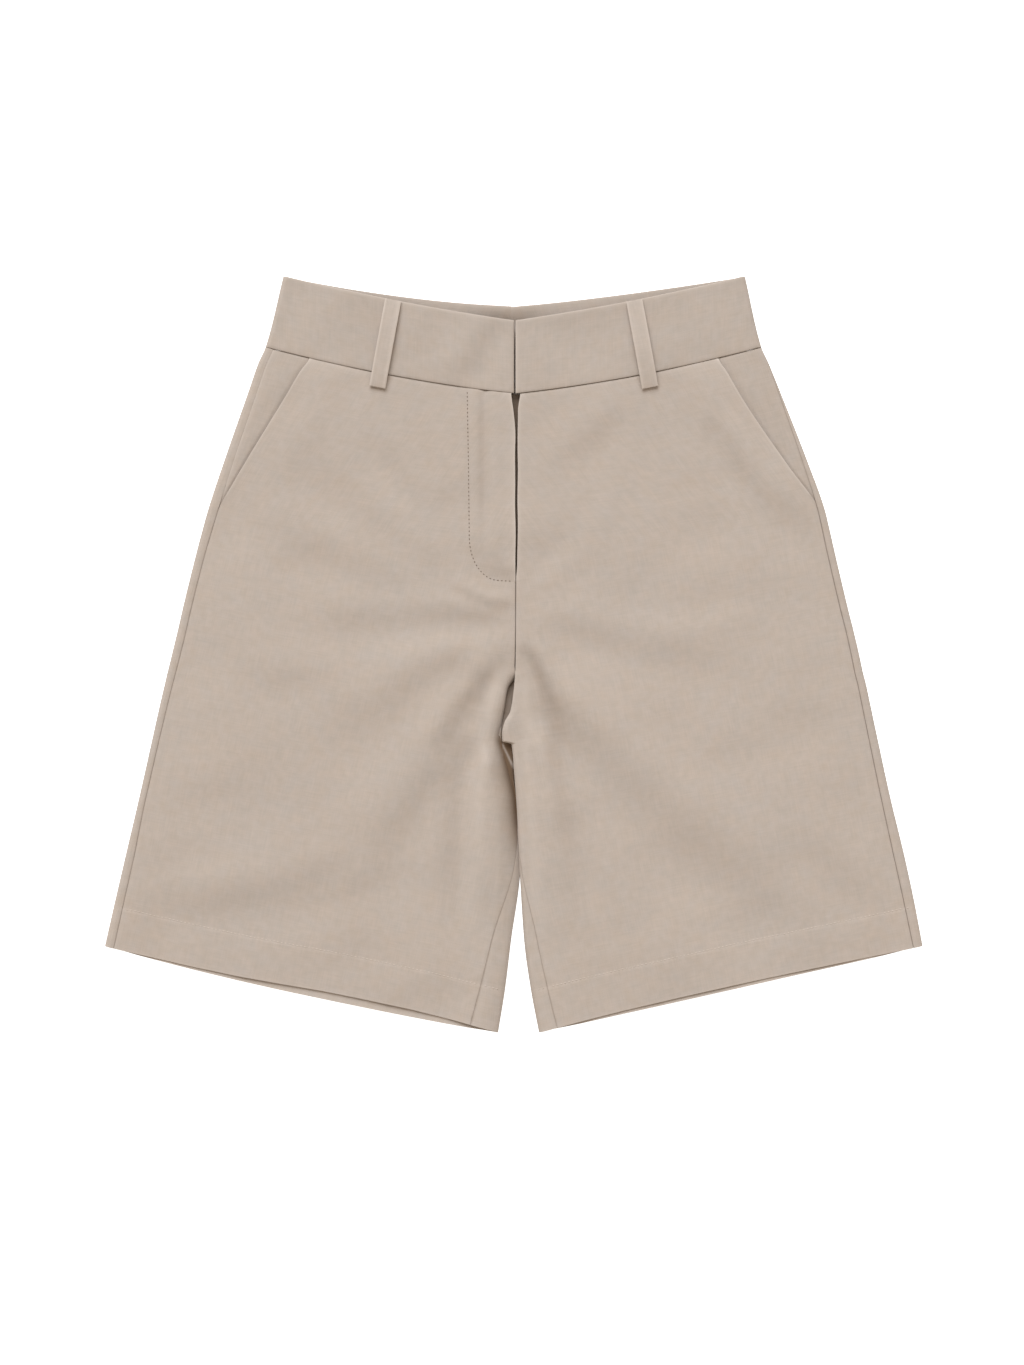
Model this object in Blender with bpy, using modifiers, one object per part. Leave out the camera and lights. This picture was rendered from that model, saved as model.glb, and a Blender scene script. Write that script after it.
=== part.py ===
"""Bermuda shorts lying flat on a surface, front side up, waist towards +Y.

The garment is two cloth layers: the back panels lie flat on the surface and roll round the
outside of each leg, and the front panels lie on top. Every piece is an open sheet of points
read from the same surface, and a Solidify modifier gives it its wall on the inside.
Left is -X, which is the wearer's right. Sizes are in millimetres and MM turns them to metres.
"""

import bmesh
import bpy
import numpy as np

MM = 0.001

# Cloth and make
CLOTH = 1.2             # wall of a single panel with its inside finish
DOUBLED = 2.2           # wall where the cloth is doubled: waistband and hems
SEAM = 0.3              # gap left between pieces that are sewn together
FOLD = 3.8              # outer radius of the soft fold along the outside and inside of a leg
QUARTER = FOLD * np.pi / 2
LEAST_BEND = 0.001      # share of the fold's curvature that stands for a level edge
LOFT = 3.4              # how much the front lies above its own side folds
LOFT_REACH = 55.0       # distance from a fold over which the front rises to that height
CREASE_REACH = 14.0     # creases fade out this close to a fold
TOP_Y = 286.9           # the waist's outer corners, from the middle of the garment

HEM_DEPTH = 32.0
HEM_TAPER = 12.0        # the wall thickens to the doubled hem over this distance
POCKET_UNDER = 18.0     # how far a pocket facing reaches under the front panel
FACING_GAP = 0.7        # between a facing and the back panel, on the round of the side
POCKET_GAP = 0.5        # between a facing and the front panel over it
POCKET_FADE = 30.0      # the front comes down from the facing over this distance
POCKET_END = 174.0      # the facing's lower end, down from the waist's corner

BAND_DEPTH = 54.0
BAND_GAP = 0.6          # half the gap between the two ends of the waistband
BAND_MEET = 0.8         # where those ends meet
BACK_SEAM_X = -2.0      # centre back seam
BACK_PARTS_AT = 253.1    # down where each back is parted into seat and leg, at the fork

SHIELD_REACH = (36.0, 10.0)    # the fly shield, to each side of the fly's edge
SHIELD_LENGTH = 138.0
SHIELD_ROUND = 16.0
SHIELD_BELOW = CLOTH + 0.8

LOOP_WIDTH = 12.4
LOOP_WALL = 1.4
LOOP_ARCH = 1.8
LOOP_PAST_SEAM = 10.6
LOOP_IN = (84.2, 90.0)         # from the outline to the loop's middle, at its top and its foot

# Sections run slanting across each half, from the outline to the inner edge.
# down: from the waist's corner to the section, along the outline
# drop: how much lower the section ends than it starts
# out_l, out_r: half widths to the outline; in_l, in_r: the front's inner edge
# back_l, back_r: the back's inner edge; rise: how much higher the back's inner end lies
# roll: how far the front's inner edge rolls under; curl: the same for the back's, upwards
# seam_l, seam_r: the side seam, along the cloth from the outermost line
# mouth_l, mouth_r: the front's outer edge there, which is the pocket's mouth
# inseam_l, inseam_r: the inseam, along the cloth from the innermost line
# bow_f, bow_b: how far the middle of the front's and the back's line lies above a straight one
COLUMNS = (
    "down", "drop", "out_l", "out_r", "in_l", "in_r", "back_l", "back_r", "rise",
    "roll", "curl", "seam_l", "seam_r", "mouth_l", "mouth_r", "inseam_l", "inseam_r",
    "bow_f", "bow_b")
SECTIONS = {
    "band top":     (0.0, 34.2, 175.2, 175.9, 0.2, 1.4, -2.0, -2.0, 10.4,
                     0, 0, 8.0, 0.0, 36.0, 35.0, 0, 0, -2.4, -2.6),
    "band seam":    (54.0, 35.3, 188.8, 188.4, -1.7, 5.1, -2.0, -2.0, 10.4,
                     0, 0, 8.2, 0.5, 36.2, 34.9, 0, 0, -3.7, -3.2),
    "fly mouth":    (65.4, 36.4, 194.0, 193.6, -0.3, 3.3, -2.0, -2.0, 10.0,
                     0, 0, 8.3, 1.6, 33.4, 32.3, 0, 0, -3.7, -3.2),
    "fly":          (86.6, 38.0, 201.4, 202.2, 1.3, 2.2, -2.0, -2.0, 9.0,
                     0, 0, 8.5, 3.5, 29.3, 28.3, 0, 0, -3.5, -3.0),
    "hip":          (139.8, 38.0, 220.0, 223.1, 1.4, 2.1, -2.0, -2.0, 6.5,
                     0, 0, 9.0, 6.0, 18.5, 18.0, 0, 0, -3.0, -2.5),
    "pocket end":   (178.0, 40.3, 232.6, 236.8, 1.4, 2.1, -2.0, -2.0, 5.0,
                     0, 0, 9.6, 7.5, 10.2, 8.2, 0, 0, -2.6, -2.2),
    "seat":         (212.0, 43.4, 241.8, 244.7, 1.3, 2.0, -2.0, -2.0, 3.5,
                     0, 0, 8.8, 7.9, 0, 0, 0, 0, -2.2, -2.0),
    "fork top":     (253.1, 44.8, 251.9, 254.4, 0.8, 1.7, -2.0, -2.0, 2.0,
                     0.1, 0, 8.6, 8.0, 0, 0, 0, 0, -1.8, -1.8),
    "fork open":    (269.0, 45.6, 255.5, 258.4, -4.9, -0.5, -2.0, -2.0, 1.4,
                     0.4, 0, 8.6, 8.0, 0, 0, 0, 0, -1.6, -1.7),
    "fork low":     (284.2, 46.4, 259.2, 262.0, -7.1, -3.4, -2.0, -2.0, 0.9,
                     0.5, 0, 8.6, 8.2, 0, 0, 0, 0, -1.5, -1.7),
    "nub":          (301.0, 47.1, 263.3, 265.6, -9.8, -8.7, -2.0, -2.0, 0.4,
                     0.8, 0.05, 8.4, 8.4, 0, 0, 0, 0, -1.3, -1.6),
    "nub base":     (307.8, 47.9, 264.9, 267.4, -9.3, -2.1, -2.1, -1.9, 0.2,
                     1, 0.15, 8.2, 8.4, 0, 0, 0, 0, -1.2, -1.6),
    "inner thigh":  (325.3, 50.1, 269.0, 271.2, -4.8, -0.2, -1.9, -1.4, 0,
                     1, 0.5, 8.0, 8.6, 0, 0, 0, 0, -1.0, -1.6),
    "thigh":        (352.6, 51.7, 275.1, 277.0, 1.8, 2.5, 1.8, 2.5, 0,
                     1, 1, 7.6, 8.8, 0, 0, 0.6, 0, -0.5, -1.7),
    "legs part":    (396.0, 53.9, 284.8, 286.4, 3.9, 5.1, 3.9, 5.1, 0,
                     1, 1, 7.4, 9.2, 0, 0, 6.9, 1.5, 0.2, -1.8),
    "mid leg":      (443.8, 60.8, 296.0, 297.9, -2.7, 8.7, -2.7, 8.7, 0,
                     1, 1, 8.8, 10.2, 0, 0, 16.2, 11.8, 1.0, -2.2),
    "hem stitch":   (478.0, 63.9, 304.0, 305.2, -7.4, 13.9, -7.4, 13.9, 0,
                     1, 1, 9.0, 10.0, 0, 0, 20.5, 14.6, 1.6, -2.6),
    "hem":          (508.8, 65.0, 311.0, 311.0, -12.5, 20.1, -12.5, 20.1, 0,
                     1, 1, 9.2, 9.4, 0, 0, 23.4, 16.2, 2.2, -3.3),
}
TABLE = dict(zip(COLUMNS, np.array(list(SECTIONS.values()), dtype=float).T))
HEM_DOWN = SECTIONS["hem"][0]

# Creases of the front, each a soft ridge (height above 0) or trough (below 0) along a line.
# name: height, half width, then the points of its line
CREASES = {
    "left fork upper":   (-1.6, 9, (-8, 27.7), (-60, 31), (-109, 33)),
    "left fork middle":  (-2.0, 10, (-10, 8.7), (-75, -27.7), (-109, -43)),
    "left fork lower":   (-1.8, 10, (-12, 2), (-56, -54), (-109, -119)),
    "left thigh ridge":  (2.2, 15, (-22, -34), (-56, -81), (-132, -130), (-240, -168)),
    "left hem trough":   (-1.4, 13, (-162, -165), (-262, -194)),
    "left hip trough":   (-1.5, 14, (-225, 104), (-132, 71)),
    "left front trough": (-1.3, 16, (-162, 155), (-109, 86)),
    "left front ridge":  (1.5, 15, (-140, 140), (-56, 86)),
    "right fork upper":  (-2.0, 9, (12, 10), (28, -28), (43, -43), (96, -66)),
    "right fork ridge":  (1.8, 10, (14, 14), (58, -24), (115, -62)),
    "right seat trough": (-1.2, 12, (77, 6.5), (153, -1)),
    "right thigh ridge": (2.2, 15, (58, -43), (134, -104), (218, -172)),
    "right thigh trough": (-1.6, 12, (39, -62), (115, -119), (202, -195)),
    "right hip trough":  (-1.4, 13, (149, 56), (228, 64)),
    "right front ridge": (1.3, 14, (47, 128), (14, 71)),
}

# Rows of points down a panel: distance down to a station, and the steps up to it
PANEL_ROWS = (
    (54.0, 0), (86.6, 2), (172.0, 5), (253.1, 4), (269.0, 2), (284.2, 2), (301.0, 2), (307.8, 1),
    (325.3, 1), (352.6, 2), (478.0, 7), (508.8, 2))
BAND_STEPS = 3
FOLD_STEPS = 4
MIDDLE_STEPS = 12
FLAT_STEPS = 5
FACING_STEPS = 6
EDGE_CELL = 1.4         # least width of the cells along a turned edge
INSEAM_GAP = 0.6        # more between front and back along the inseam, which runs round a fold
HALF_CURLED_GAP = 2.2   # the front ends this much sooner where the back is only half curled

LINEN = (0.527, 0.440, 0.371)
SHADES = {"front": 1.0, "back": 0.93, "band": 0.97, "under": 0.86, "loop": 1.03}


# ---------------------------------------------------------------- surface of the garment

def smooth_between(x, xs, ys):
    """Cubic through (xs, ys) that never overshoots: slopes are harmonic means of the chords."""
    step = np.diff(xs)
    chord = np.diff(ys) / step
    slope = np.concatenate(([chord[0]], np.zeros(len(xs) - 2), [chord[-1]]))
    same = chord[:-1] * chord[1:] > 0
    before, after = chord[:-1][same], chord[1:][same]
    slope[1:-1][same] = 2 * before * after / (before + after)
    i = np.clip(np.searchsorted(xs, x) - 1, 0, len(xs) - 2)
    t = (x - xs[i]) / step[i]
    ends = (1 - t) ** 2 * (1 + 2 * t) * ys[i] + t ** 2 * (3 - 2 * t) * ys[i + 1]
    return ends + t * (1 - t) * step[i] * ((1 - t) * slope[i] - t * slope[i + 1])


def side_sign(side):
    return -1 if side == "left" else 1


def at(column, side, down):
    """A column of the sections' table at any distance down, for one side where it has two."""
    name = column if column in TABLE else f"{column}_{side[0]}"
    return smooth_between(down, TABLE["down"], TABLE[name])


def ease(t):
    """0 up to 0, 1 from 1, and smooth between them."""
    t = np.clip(t, 0, 1)
    return t * t * (3 - 2 * t)


def crease_height(x, y):
    """Sum of all creases: height times exp(-(distance / half width)^2) for each."""
    total = np.zeros_like(x)
    for height, width, *line in CREASES.values():
        nearest = np.full_like(x, np.inf)
        for (x0, y0), (x1, y1) in zip(line[:-1], line[1:]):
            along = ((x - x0) * (x1 - x0) + (y - y0) * (y1 - y0)) / ((x1 - x0) ** 2 + (y1 - y0) ** 2)
            along = np.clip(along, 0, 1)
            gap = np.hypot(x - x0 - along * (x1 - x0), y - y0 - along * (y1 - y0))
            nearest = np.minimum(nearest, gap)
        total += height * np.exp(-(nearest / width) ** 2)
    return total


def line_y(side, down, reach, layer):
    """Y of a section's line at a distance in from the outline."""
    span = at("out", side, down) - side_sign(side) * at("in", side, down)
    t = reach / span
    drop = at("drop", side, down) - (at("rise", side, down) if layer == "back" else 0)
    bow = at("bow_f" if layer == "front" else "bow_b", side, down)
    return TOP_Y - down - drop * t + 4 * bow * t * (1 - t)


def top_height(side, down, reach, x, y):
    """Height of the front's upper face: the folds' height, the loft and the creases."""
    inner = at("out", side, down) - side_sign(side) * at("in", side, down) - reach
    roll = at("roll", side, down)
    loft = ease((reach - FOLD) / LOFT_REACH) * (1 - roll * (1 - ease((inner - FOLD) / LOFT_REACH)))
    near = ease((reach - FOLD) / CREASE_REACH) * (1 - roll * (1 - ease((inner - FOLD) / CREASE_REACH)))
    below_band = ease((down - BAND_DEPTH) / CREASE_REACH)
    return 2 * FOLD + LOFT * loft + near * below_band * crease_height(x, y)


def outer_part(side, down, path):
    """Points at a path length from the outermost line: above 0 over the top, below 0 beneath.

    Within a quarter turn of FOLD the reach is FOLD (1 - cos) and the height FOLD (1 + sin).
    Past it the cloth runs level: beneath on the surface, on top at top_height.
    """
    sign = side_sign(side)
    angle = np.clip(path / FOLD, -np.pi / 2, np.pi / 2)
    reach = FOLD * (1 - np.cos(angle)) + np.maximum(np.abs(path) - QUARTER, 0)
    x = sign * (at("out", side, down) - reach)
    y = np.where(path > 0, line_y(side, down, reach, "front"), line_y(side, down, reach, "back"))
    top = top_height(side, down, reach, x, y)
    z = np.where(path > QUARTER, top, FOLD * (1 + np.sin(angle)))
    return np.stack((x, y, z), axis=-1)


def tail_bend(layer, side, down):
    """Curvature of a layer's last quarter turn, and how far inwards that turn reaches."""
    share = at("roll" if layer == "front" else "curl", side, down)
    bend = np.maximum(share, LEAST_BEND) / FOLD
    return bend, np.sin(np.minimum(bend * QUARTER, np.pi / 2)) / bend


def inner_part(side, down, path, layer):
    """Points at a path length from the innermost line, outwards along the front or the back.

    The last quarter turn bends by `roll` or `curl` of the full fold: 0 leaves the edge level,
    1 makes the closed fold of a leg, and a path below 0 goes on round to the other layer.
    """
    sign = side_sign(side)
    bend, widest = tail_bend(layer, side, down)
    edge = at("in" if layer == "front" else "back", side, down)
    tail = QUARTER - path
    angle = np.clip(bend * tail, 0, np.pi)
    back_over = np.maximum(tail - 2 * QUARTER, 0)
    inward = widest - np.sin(angle) / bend + np.maximum(-tail, 0) + back_over
    x = edge + sign * inward
    reach = at("out", side, down) - sign * x
    other = "back" if layer == "front" else "front"
    over = angle > np.pi / 2
    y = np.where(over, line_y(side, down, reach, other), line_y(side, down, reach, layer))
    lift = (1 - np.cos(angle)) / bend
    top = top_height(side, down, reach, x, y)
    if layer == "front":
        z = top - lift
    else:
        z = np.where(back_over > 0, top, lift)
    return np.stack((x, y, z), axis=-1)


# ---------------------------------------------------------------- making a piece

def clear_scene():
    for item in list(bpy.data.objects):
        bpy.data.objects.remove(item, do_unlink=True)


def cloth_material(name, shade):
    material = bpy.data.materials.new(name)
    material.use_nodes = True
    surface = material.node_tree.nodes["Principled BSDF"]
    surface.inputs["Base Color"].default_value = (*(shade * c for c in LINEN), 1.0)
    surface.inputs["Roughness"].default_value = 0.9
    surface.inputs["Metallic"].default_value = 0.0
    return material


def make_piece(collection, name, points, wall, shade, outward, thin=None):
    """A sheet through rows and columns of points, with its wall on the inner side.

    `outward` says which way the outer face looks at the sheet's first corner cell.
    `thin` gives each point's share of the wall, for a wall that is not even.
    """
    rows, columns = points.shape[:2]
    shape = bmesh.new()
    bmesh.ops.create_grid(shape, x_segments=columns - 1, y_segments=rows - 1, size=1)
    spots = sorted(shape.verts, key=lambda vert: (round(vert.co.y, 5), round(vert.co.x, 5)))
    for vert, point in zip(spots, points.reshape(-1, 3) * MM):
        vert.co = point
    shape.normal_update()
    probe = spots[0].link_faces[0].normal
    if probe.dot(outward) < 0:
        bmesh.ops.reverse_faces(shape, faces=shape.faces)
    order = np.array([vert.index for vert in spots])
    mesh = bpy.data.meshes.new(name)
    shape.to_mesh(mesh)
    shape.free()
    mesh.shade_smooth()
    piece = bpy.data.objects.new(name, mesh)
    collection.objects.link(piece)
    mesh.materials.append(cloth_material(name, SHADES[shade]))
    solid = piece.modifiers.new("wall", "SOLIDIFY")
    solid.thickness = wall * MM
    solid.offset = -1
    solid.use_even_offset = True
    if thin is not None:
        group = piece.vertex_groups.new(name="wall")
        for index, share in zip(order, thin.reshape(-1)):
            group.add([int(index)], float(share), "REPLACE")
        solid.vertex_group = "wall"
    return piece


def panel_rows(top_gap):
    """Distances down at which a panel has its rows, the first just under the band."""
    rows = [PANEL_ROWS[0][0] + top_gap]
    for (start, _), (end, steps) in zip(PANEL_ROWS[:-1], PANEL_ROWS[1:]):
        rows.extend(np.linspace(start, end, steps + 1)[1:])
    return np.array(rows)[:, None]


def hem_share(down):
    """Share of the doubled wall: the plain cloth above the hem, the whole at the hem."""
    plain = CLOTH / DOUBLED
    return plain + (1 - plain) * ease((down - HEM_DOWN + HEM_DEPTH) / HEM_TAPER)


def spread(start, end, steps):
    """Even columns between two edges that differ from row to row."""
    return start + (end - start) * np.linspace(0, 1, steps + 1)[None, :]


def other_end(side, down, path):
    """A path length along the front, measured from its other edge: outer to inner or back."""
    span = at("out", side, down) - side_sign(side) * at("in", side, down)
    _, widest = tail_bend("front", side, down)
    return span - FOLD - widest - path + 2 * QUARTER


# ---------------------------------------------------------------- the pieces

def front_start(side, down):
    """The front's outer edge: the pocket's mouth, or the side seam below it."""
    return np.maximum(at("mouth", side, down), at("seam", side, down) + SEAM)


def pocket_lift(side, down, path):
    """How far the front stands over the pocket's facing, and past it until it is down again."""
    past_edge = (path - at("mouth", side, down) - POCKET_UNDER - 2) / POCKET_FADE
    past_end = (down - POCKET_END - 2) / POCKET_FADE
    return (CLOTH + POCKET_GAP) * (1 - ease(past_edge)) * (1 - ease(past_end))


def facing_columns(side, down):
    """Columns from the pocket's mouth inwards that the facing and the front share."""
    start = front_start(side, down)
    return spread(start, start + POCKET_UNDER, 3)


def front_panel(collection, side):
    down = panel_rows(SEAM)
    near = facing_columns(side, down)
    curl = at("curl", side, down)
    inner_end = at("inseam", side, down) + SEAM / 2 + INSEAM_GAP * curl
    inner_end += HALF_CURLED_GAP * 4 * curl * (1 - curl)
    tail_start = np.maximum(QUARTER, inner_end + 3)
    far = other_end(side, down, near[:, -1:])
    middle = spread(far, tail_start, MIDDLE_STEPS)[:, 1:]
    tail = spread(tail_start, inner_end, FOLD_STEPS)[:, 1:]
    inner = np.concatenate((middle, tail), axis=1)
    points = np.concatenate((
        outer_part(side, down, near),
        inner_part(side, down, inner, "front")), axis=1)
    path = np.concatenate((near, other_end(side, down, inner)), axis=1)
    points[..., 2] += pocket_lift(side, down, path)
    share = np.broadcast_to(hem_share(down), points.shape[:2])
    make_piece(collection, f"front_{side}", points, DOUBLED, "front", (0, 0, 1), share)


def back_panel(collection, side):
    """The back in two solids, parted at the fork so that each bends round one hollow only."""
    down = panel_rows(SEAM)
    over = spread(at("seam", side, down), np.full_like(down, -QUARTER), 2 * FOLD_STEPS)
    end = SEAM / 2 - at("inseam", side, down)
    _, widest = tail_bend("back", side, down)
    span = at("out", side, down) - side_sign(side) * at("back", side, down)
    level = span - FOLD - widest + QUARTER
    flat = spread(level, np.full_like(down, QUARTER), FLAT_STEPS)[:, 1:]
    bend_end = np.maximum(end + EDGE_CELL, -QUARTER)
    round_part = spread(np.full_like(down, QUARTER), bend_end, FOLD_STEPS + 1)[:, 1:]
    past = spread(bend_end, end, 2)[:, 1:]
    inner = np.concatenate((flat, round_part, past), axis=1)
    points = np.concatenate((
        outer_part(side, down, over), inner_part(side, down, inner, "back")), axis=1)
    share = np.broadcast_to(hem_share(down), points.shape[:2])
    fork = int(np.argmin(np.abs(down[:, 0] - BACK_PARTS_AT)))
    for name, first, last in ((f"back_{side}_seat", 0, fork), (f"back_{side}_leg", fork, len(down) - 1)):
        part = points[first:last + 1].copy()
        met = -1 if last == fork else 0
        ahead = points[fork - 1] - points[fork] if last == fork else points[fork + 1] - points[fork]
        part[met] += ahead / np.linalg.norm(ahead, axis=1, keepdims=True) * SEAM / 2
        make_piece(collection, name, part, DOUBLED, "back", (0, 0, 1), share[first:last + 1])


def pocket_facing(collection, side):
    rows = panel_rows(SEAM)
    down = rows[rows[:, 0] < POCKET_END]
    near = facing_columns(side, down)
    edge = at("seam", side, down) + FACING_GAP
    closer = np.linspace(0, 1, FACING_STEPS + 1)[None, :-1] ** 2
    shown = edge + (near[:, :1] - edge) * closer
    points = outer_part(side, down, np.concatenate((shown, near), axis=1))
    make_piece(collection, f"pocket_facing_{side}", points, CLOTH, "under", (0, 0, 1))


def waistband(collection, side):
    sign = side_sign(side)
    down = np.linspace(0, BAND_DEPTH, BAND_STEPS + 1)[:, None]
    out = at("out", side, down)
    front_end = out - sign * (BAND_MEET + sign * BAND_GAP) - FOLD + QUARTER
    back_end = out - sign * (BACK_SEAM_X + sign * SEAM / 2) - FOLD + QUARTER
    quarter = np.full_like(down, QUARTER)
    path = np.concatenate((
        spread(front_end, quarter, MIDDLE_STEPS),
        spread(quarter, -quarter, 2 * FOLD_STEPS)[:, 1:],
        spread(-quarter, -back_end, FLAT_STEPS)[:, 1:]), axis=1)
    points = outer_part(side, down, path)
    make_piece(collection, f"waistband_{side}", points, DOUBLED, "band", (0, 0, 1))


def fly_shield(collection):
    """Strip under the fly, sewn to the right front and lying under the left one."""
    down = np.linspace(BAND_DEPTH + SEAM, BAND_DEPTH + SHIELD_LENGTH, 9)[:, None]
    edge = at("out", "left", down) + at("in", "left", down)
    to_end = BAND_DEPTH + SHIELD_LENGTH - down
    dip = np.clip(1 - to_end / SHIELD_ROUND, 0, 1)
    narrow = SHIELD_ROUND * (1 - np.sqrt(1 - dip ** 2)) * 0.9
    reach = spread(edge - SHIELD_REACH[0] + narrow, edge + SHIELD_REACH[1], 5)
    points = outer_part("left", down, reach - FOLD + QUARTER)
    points[..., 2] -= SHIELD_BELOW
    make_piece(collection, "fly_shield", points, CLOTH, "under", (0, 0, 1))


def belt_loop(collection, side):
    """Strip over the waistband, lying on it at both ends and standing off it between them."""
    along = np.linspace(0, 1, 9)[:, None]
    down = along * (BAND_DEPTH + LOOP_PAST_SEAM)
    middle = LOOP_IN[0] + (LOOP_IN[1] - LOOP_IN[0]) * along
    reach = middle + LOOP_WIDTH * np.array([[-0.5, 0.0, 0.5]])
    points = outer_part(side, down, reach - FOLD + QUARTER)
    points[..., 2] += SEAM + LOOP_WALL + LOOP_ARCH * np.sin(np.pi * along) ** 0.7
    make_piece(collection, f"belt_loop_{side}", points, LOOP_WALL, "loop", (0, 0, 1))


def build():
    clear_scene()
    shorts = bpy.data.collections.new("bermuda_shorts")
    bpy.context.scene.collection.children.link(shorts)
    for side in ("left", "right"):
        back_panel(shorts, side)
        front_panel(shorts, side)
        waistband(shorts, side)
        pocket_facing(shorts, side)
        belt_loop(shorts, side)
    fly_shield(shorts)


build()
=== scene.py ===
"""Bermuda shorts in a sand-beige plain weave, lying flat with the front up and the waist to +Y.

Sizes are in millimetres and become metres where a mesh is made. Left is -X, the wearer's right.
"""

import bpy
import numpy as np
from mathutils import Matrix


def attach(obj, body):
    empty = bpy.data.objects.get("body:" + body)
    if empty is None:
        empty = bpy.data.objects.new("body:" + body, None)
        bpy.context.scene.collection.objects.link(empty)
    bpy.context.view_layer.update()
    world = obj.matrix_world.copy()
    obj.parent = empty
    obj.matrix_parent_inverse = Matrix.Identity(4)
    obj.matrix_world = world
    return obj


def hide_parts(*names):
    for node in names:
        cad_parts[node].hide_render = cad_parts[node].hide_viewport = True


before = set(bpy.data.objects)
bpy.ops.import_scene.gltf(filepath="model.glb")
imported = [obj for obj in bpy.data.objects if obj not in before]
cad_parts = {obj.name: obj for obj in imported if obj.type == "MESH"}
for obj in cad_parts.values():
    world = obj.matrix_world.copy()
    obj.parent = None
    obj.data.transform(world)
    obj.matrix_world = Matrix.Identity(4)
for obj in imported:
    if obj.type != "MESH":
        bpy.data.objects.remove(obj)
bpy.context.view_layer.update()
MM = 0.001


# ---------------------------------------------------------------- table, light and camera
# A lit white table, as in a copying studio: it glows a little, so it stays white under the
# garment's edge. The key light is broad and stands beyond the waist, so that folds which face
# it are light and their far sides are dark, and the room, a little warmer, fills in the rest.

PICTURE_LONG_SIDE = 1.0362      # metres of table that the picture's long side takes in
PICTURE_MIDDLE = (-0.0013, -0.022)
CAMERA_HEIGHT = 2.6             # over the middle of the garment's height
GARMENT_MIDDLE = 0.009
SENSOR = 36.0
ROOM_LIGHT = 0.5
ROOM_LIT = (1.04, 0.94, 0.84, 1)        # the room as it lights the garment
ROOM_SEEN = (2, 2, 2, 1)                # and as the camera sees it
KEY_LIGHT = 2.6
KEY_COLOUR = (0.94, 1.0, 1.08)
KEY_PLACE = (-0.1, 1.2, 1.2)
KEY_ABOVE = 40.0                # degrees over the table
KEY_ASIDE = 12.0                # and to the left of straight beyond it
KEY_BREADTH = 45.0
TABLE_SIZE = 60
TABLE_BELOW = 0.0003
TABLE_TONES = ((0.86, 0.86, 0.86, 1), (0.88, 0.88, 0.88, 1))
TABLE_CLOUDS = (6, 6, 6)
TABLE_GLOW = 0.95
TABLE_SPILL = 0.06              # share of the glow that reaches the garment
TABLE_ROUGH = 0.6
TABLE_GLOSS = (0.55, 0.15)      # least roughness, and how much its clouds add
SHEEN_ROUGH = 0.5
SPECULAR = 0.25
MIX_FIRST, MIX_SECOND, MIX_RESULT = 6, 7, 2     # the sockets of a Mix node that blends colours

view = bpy.context.scene.view_settings
view.view_transform = "Standard"

eye = bpy.data.cameras.new("camera")
eye.sensor_width = SENSOR
eye.lens = SENSOR * CAMERA_HEIGHT / PICTURE_LONG_SIDE
camera = bpy.data.objects.new("camera", eye)
camera.location = (*PICTURE_MIDDLE, CAMERA_HEIGHT + GARMENT_MIDDLE)
bpy.context.scene.collection.objects.link(camera)
bpy.context.scene.camera = camera


class Value:
    """A number that varies over a surface. Arithmetic on it adds Math nodes to its finish."""

    def __init__(self, finish, socket):
        self.finish = finish
        self.socket = socket

    def maths(self, operation, first, second=0.0):
        node = self.finish.add("Math", {"operation": operation}, {0: first, 1: second})
        return Value(self.finish, node.outputs[0])

    def __add__(self, other):
        return self.maths("ADD", self, other)

    def __sub__(self, other):
        return self.maths("SUBTRACT", self, other)

    def __rsub__(self, other):
        return self.maths("SUBTRACT", other, self)

    def __mul__(self, other):
        return self.maths("MULTIPLY", self, other)

    def sine(self):
        return self.maths("SINE", self)

    __radd__ = __add__
    __rmul__ = __mul__


class Finish:
    """A material. `add` makes any node from its settings and the values or links of its sockets."""

    def __init__(self, name, roughness, sheen=0.0):
        self.material = bpy.data.materials.new(name)
        self.material.use_nodes = True
        self.tree = self.material.node_tree
        self.surface = self.tree.nodes["Principled BSDF"]
        self.surface.inputs["Roughness"].default_value = roughness
        self.surface.inputs["Sheen Weight"].default_value = sheen
        self.surface.inputs["Sheen Roughness"].default_value = SHEEN_ROUGH
        self.surface.inputs["Specular IOR Level"].default_value = SPECULAR

    def put(self, socket, value):
        if isinstance(value, Value):
            self.tree.links.new(value.socket, socket)
        else:
            socket.default_value = value

    def add(self, kind, settings, inputs):
        node = self.tree.nodes.new("ShaderNode" + kind)
        for name, value in settings.items():
            setattr(node, name, value)
        for name, value in inputs.items():
            self.put(node.inputs[name], value)
        return node

    def noise(self, where, stretch, detail=2.0):
        """Noise from 0 to 1 with `stretch` waves a metre in each direction."""
        spread = self.add("VectorMath", {"operation": "MULTIPLY"}, {0: where, 1: stretch})
        vector = Value(self, spread.outputs[0])
        node = self.add("TexNoise", {}, {"Vector": vector, "Scale": 1.0, "Detail": detail})
        return Value(self, node.outputs["Fac"])

    def blend(self, share, first, second):
        """A colour between two others."""
        node = self.add("Mix", {"data_type": "RGBA"},
                        {0: share, MIX_FIRST: first, MIX_SECOND: second})
        return Value(self, node.outputs[MIX_RESULT])

    def bump(self, height, distance, strength):
        node = self.add("Bump", {}, {"Height": height, "Distance": distance, "Strength": strength})
        self.tree.links.new(node.outputs["Normal"], self.surface.inputs["Normal"])


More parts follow.
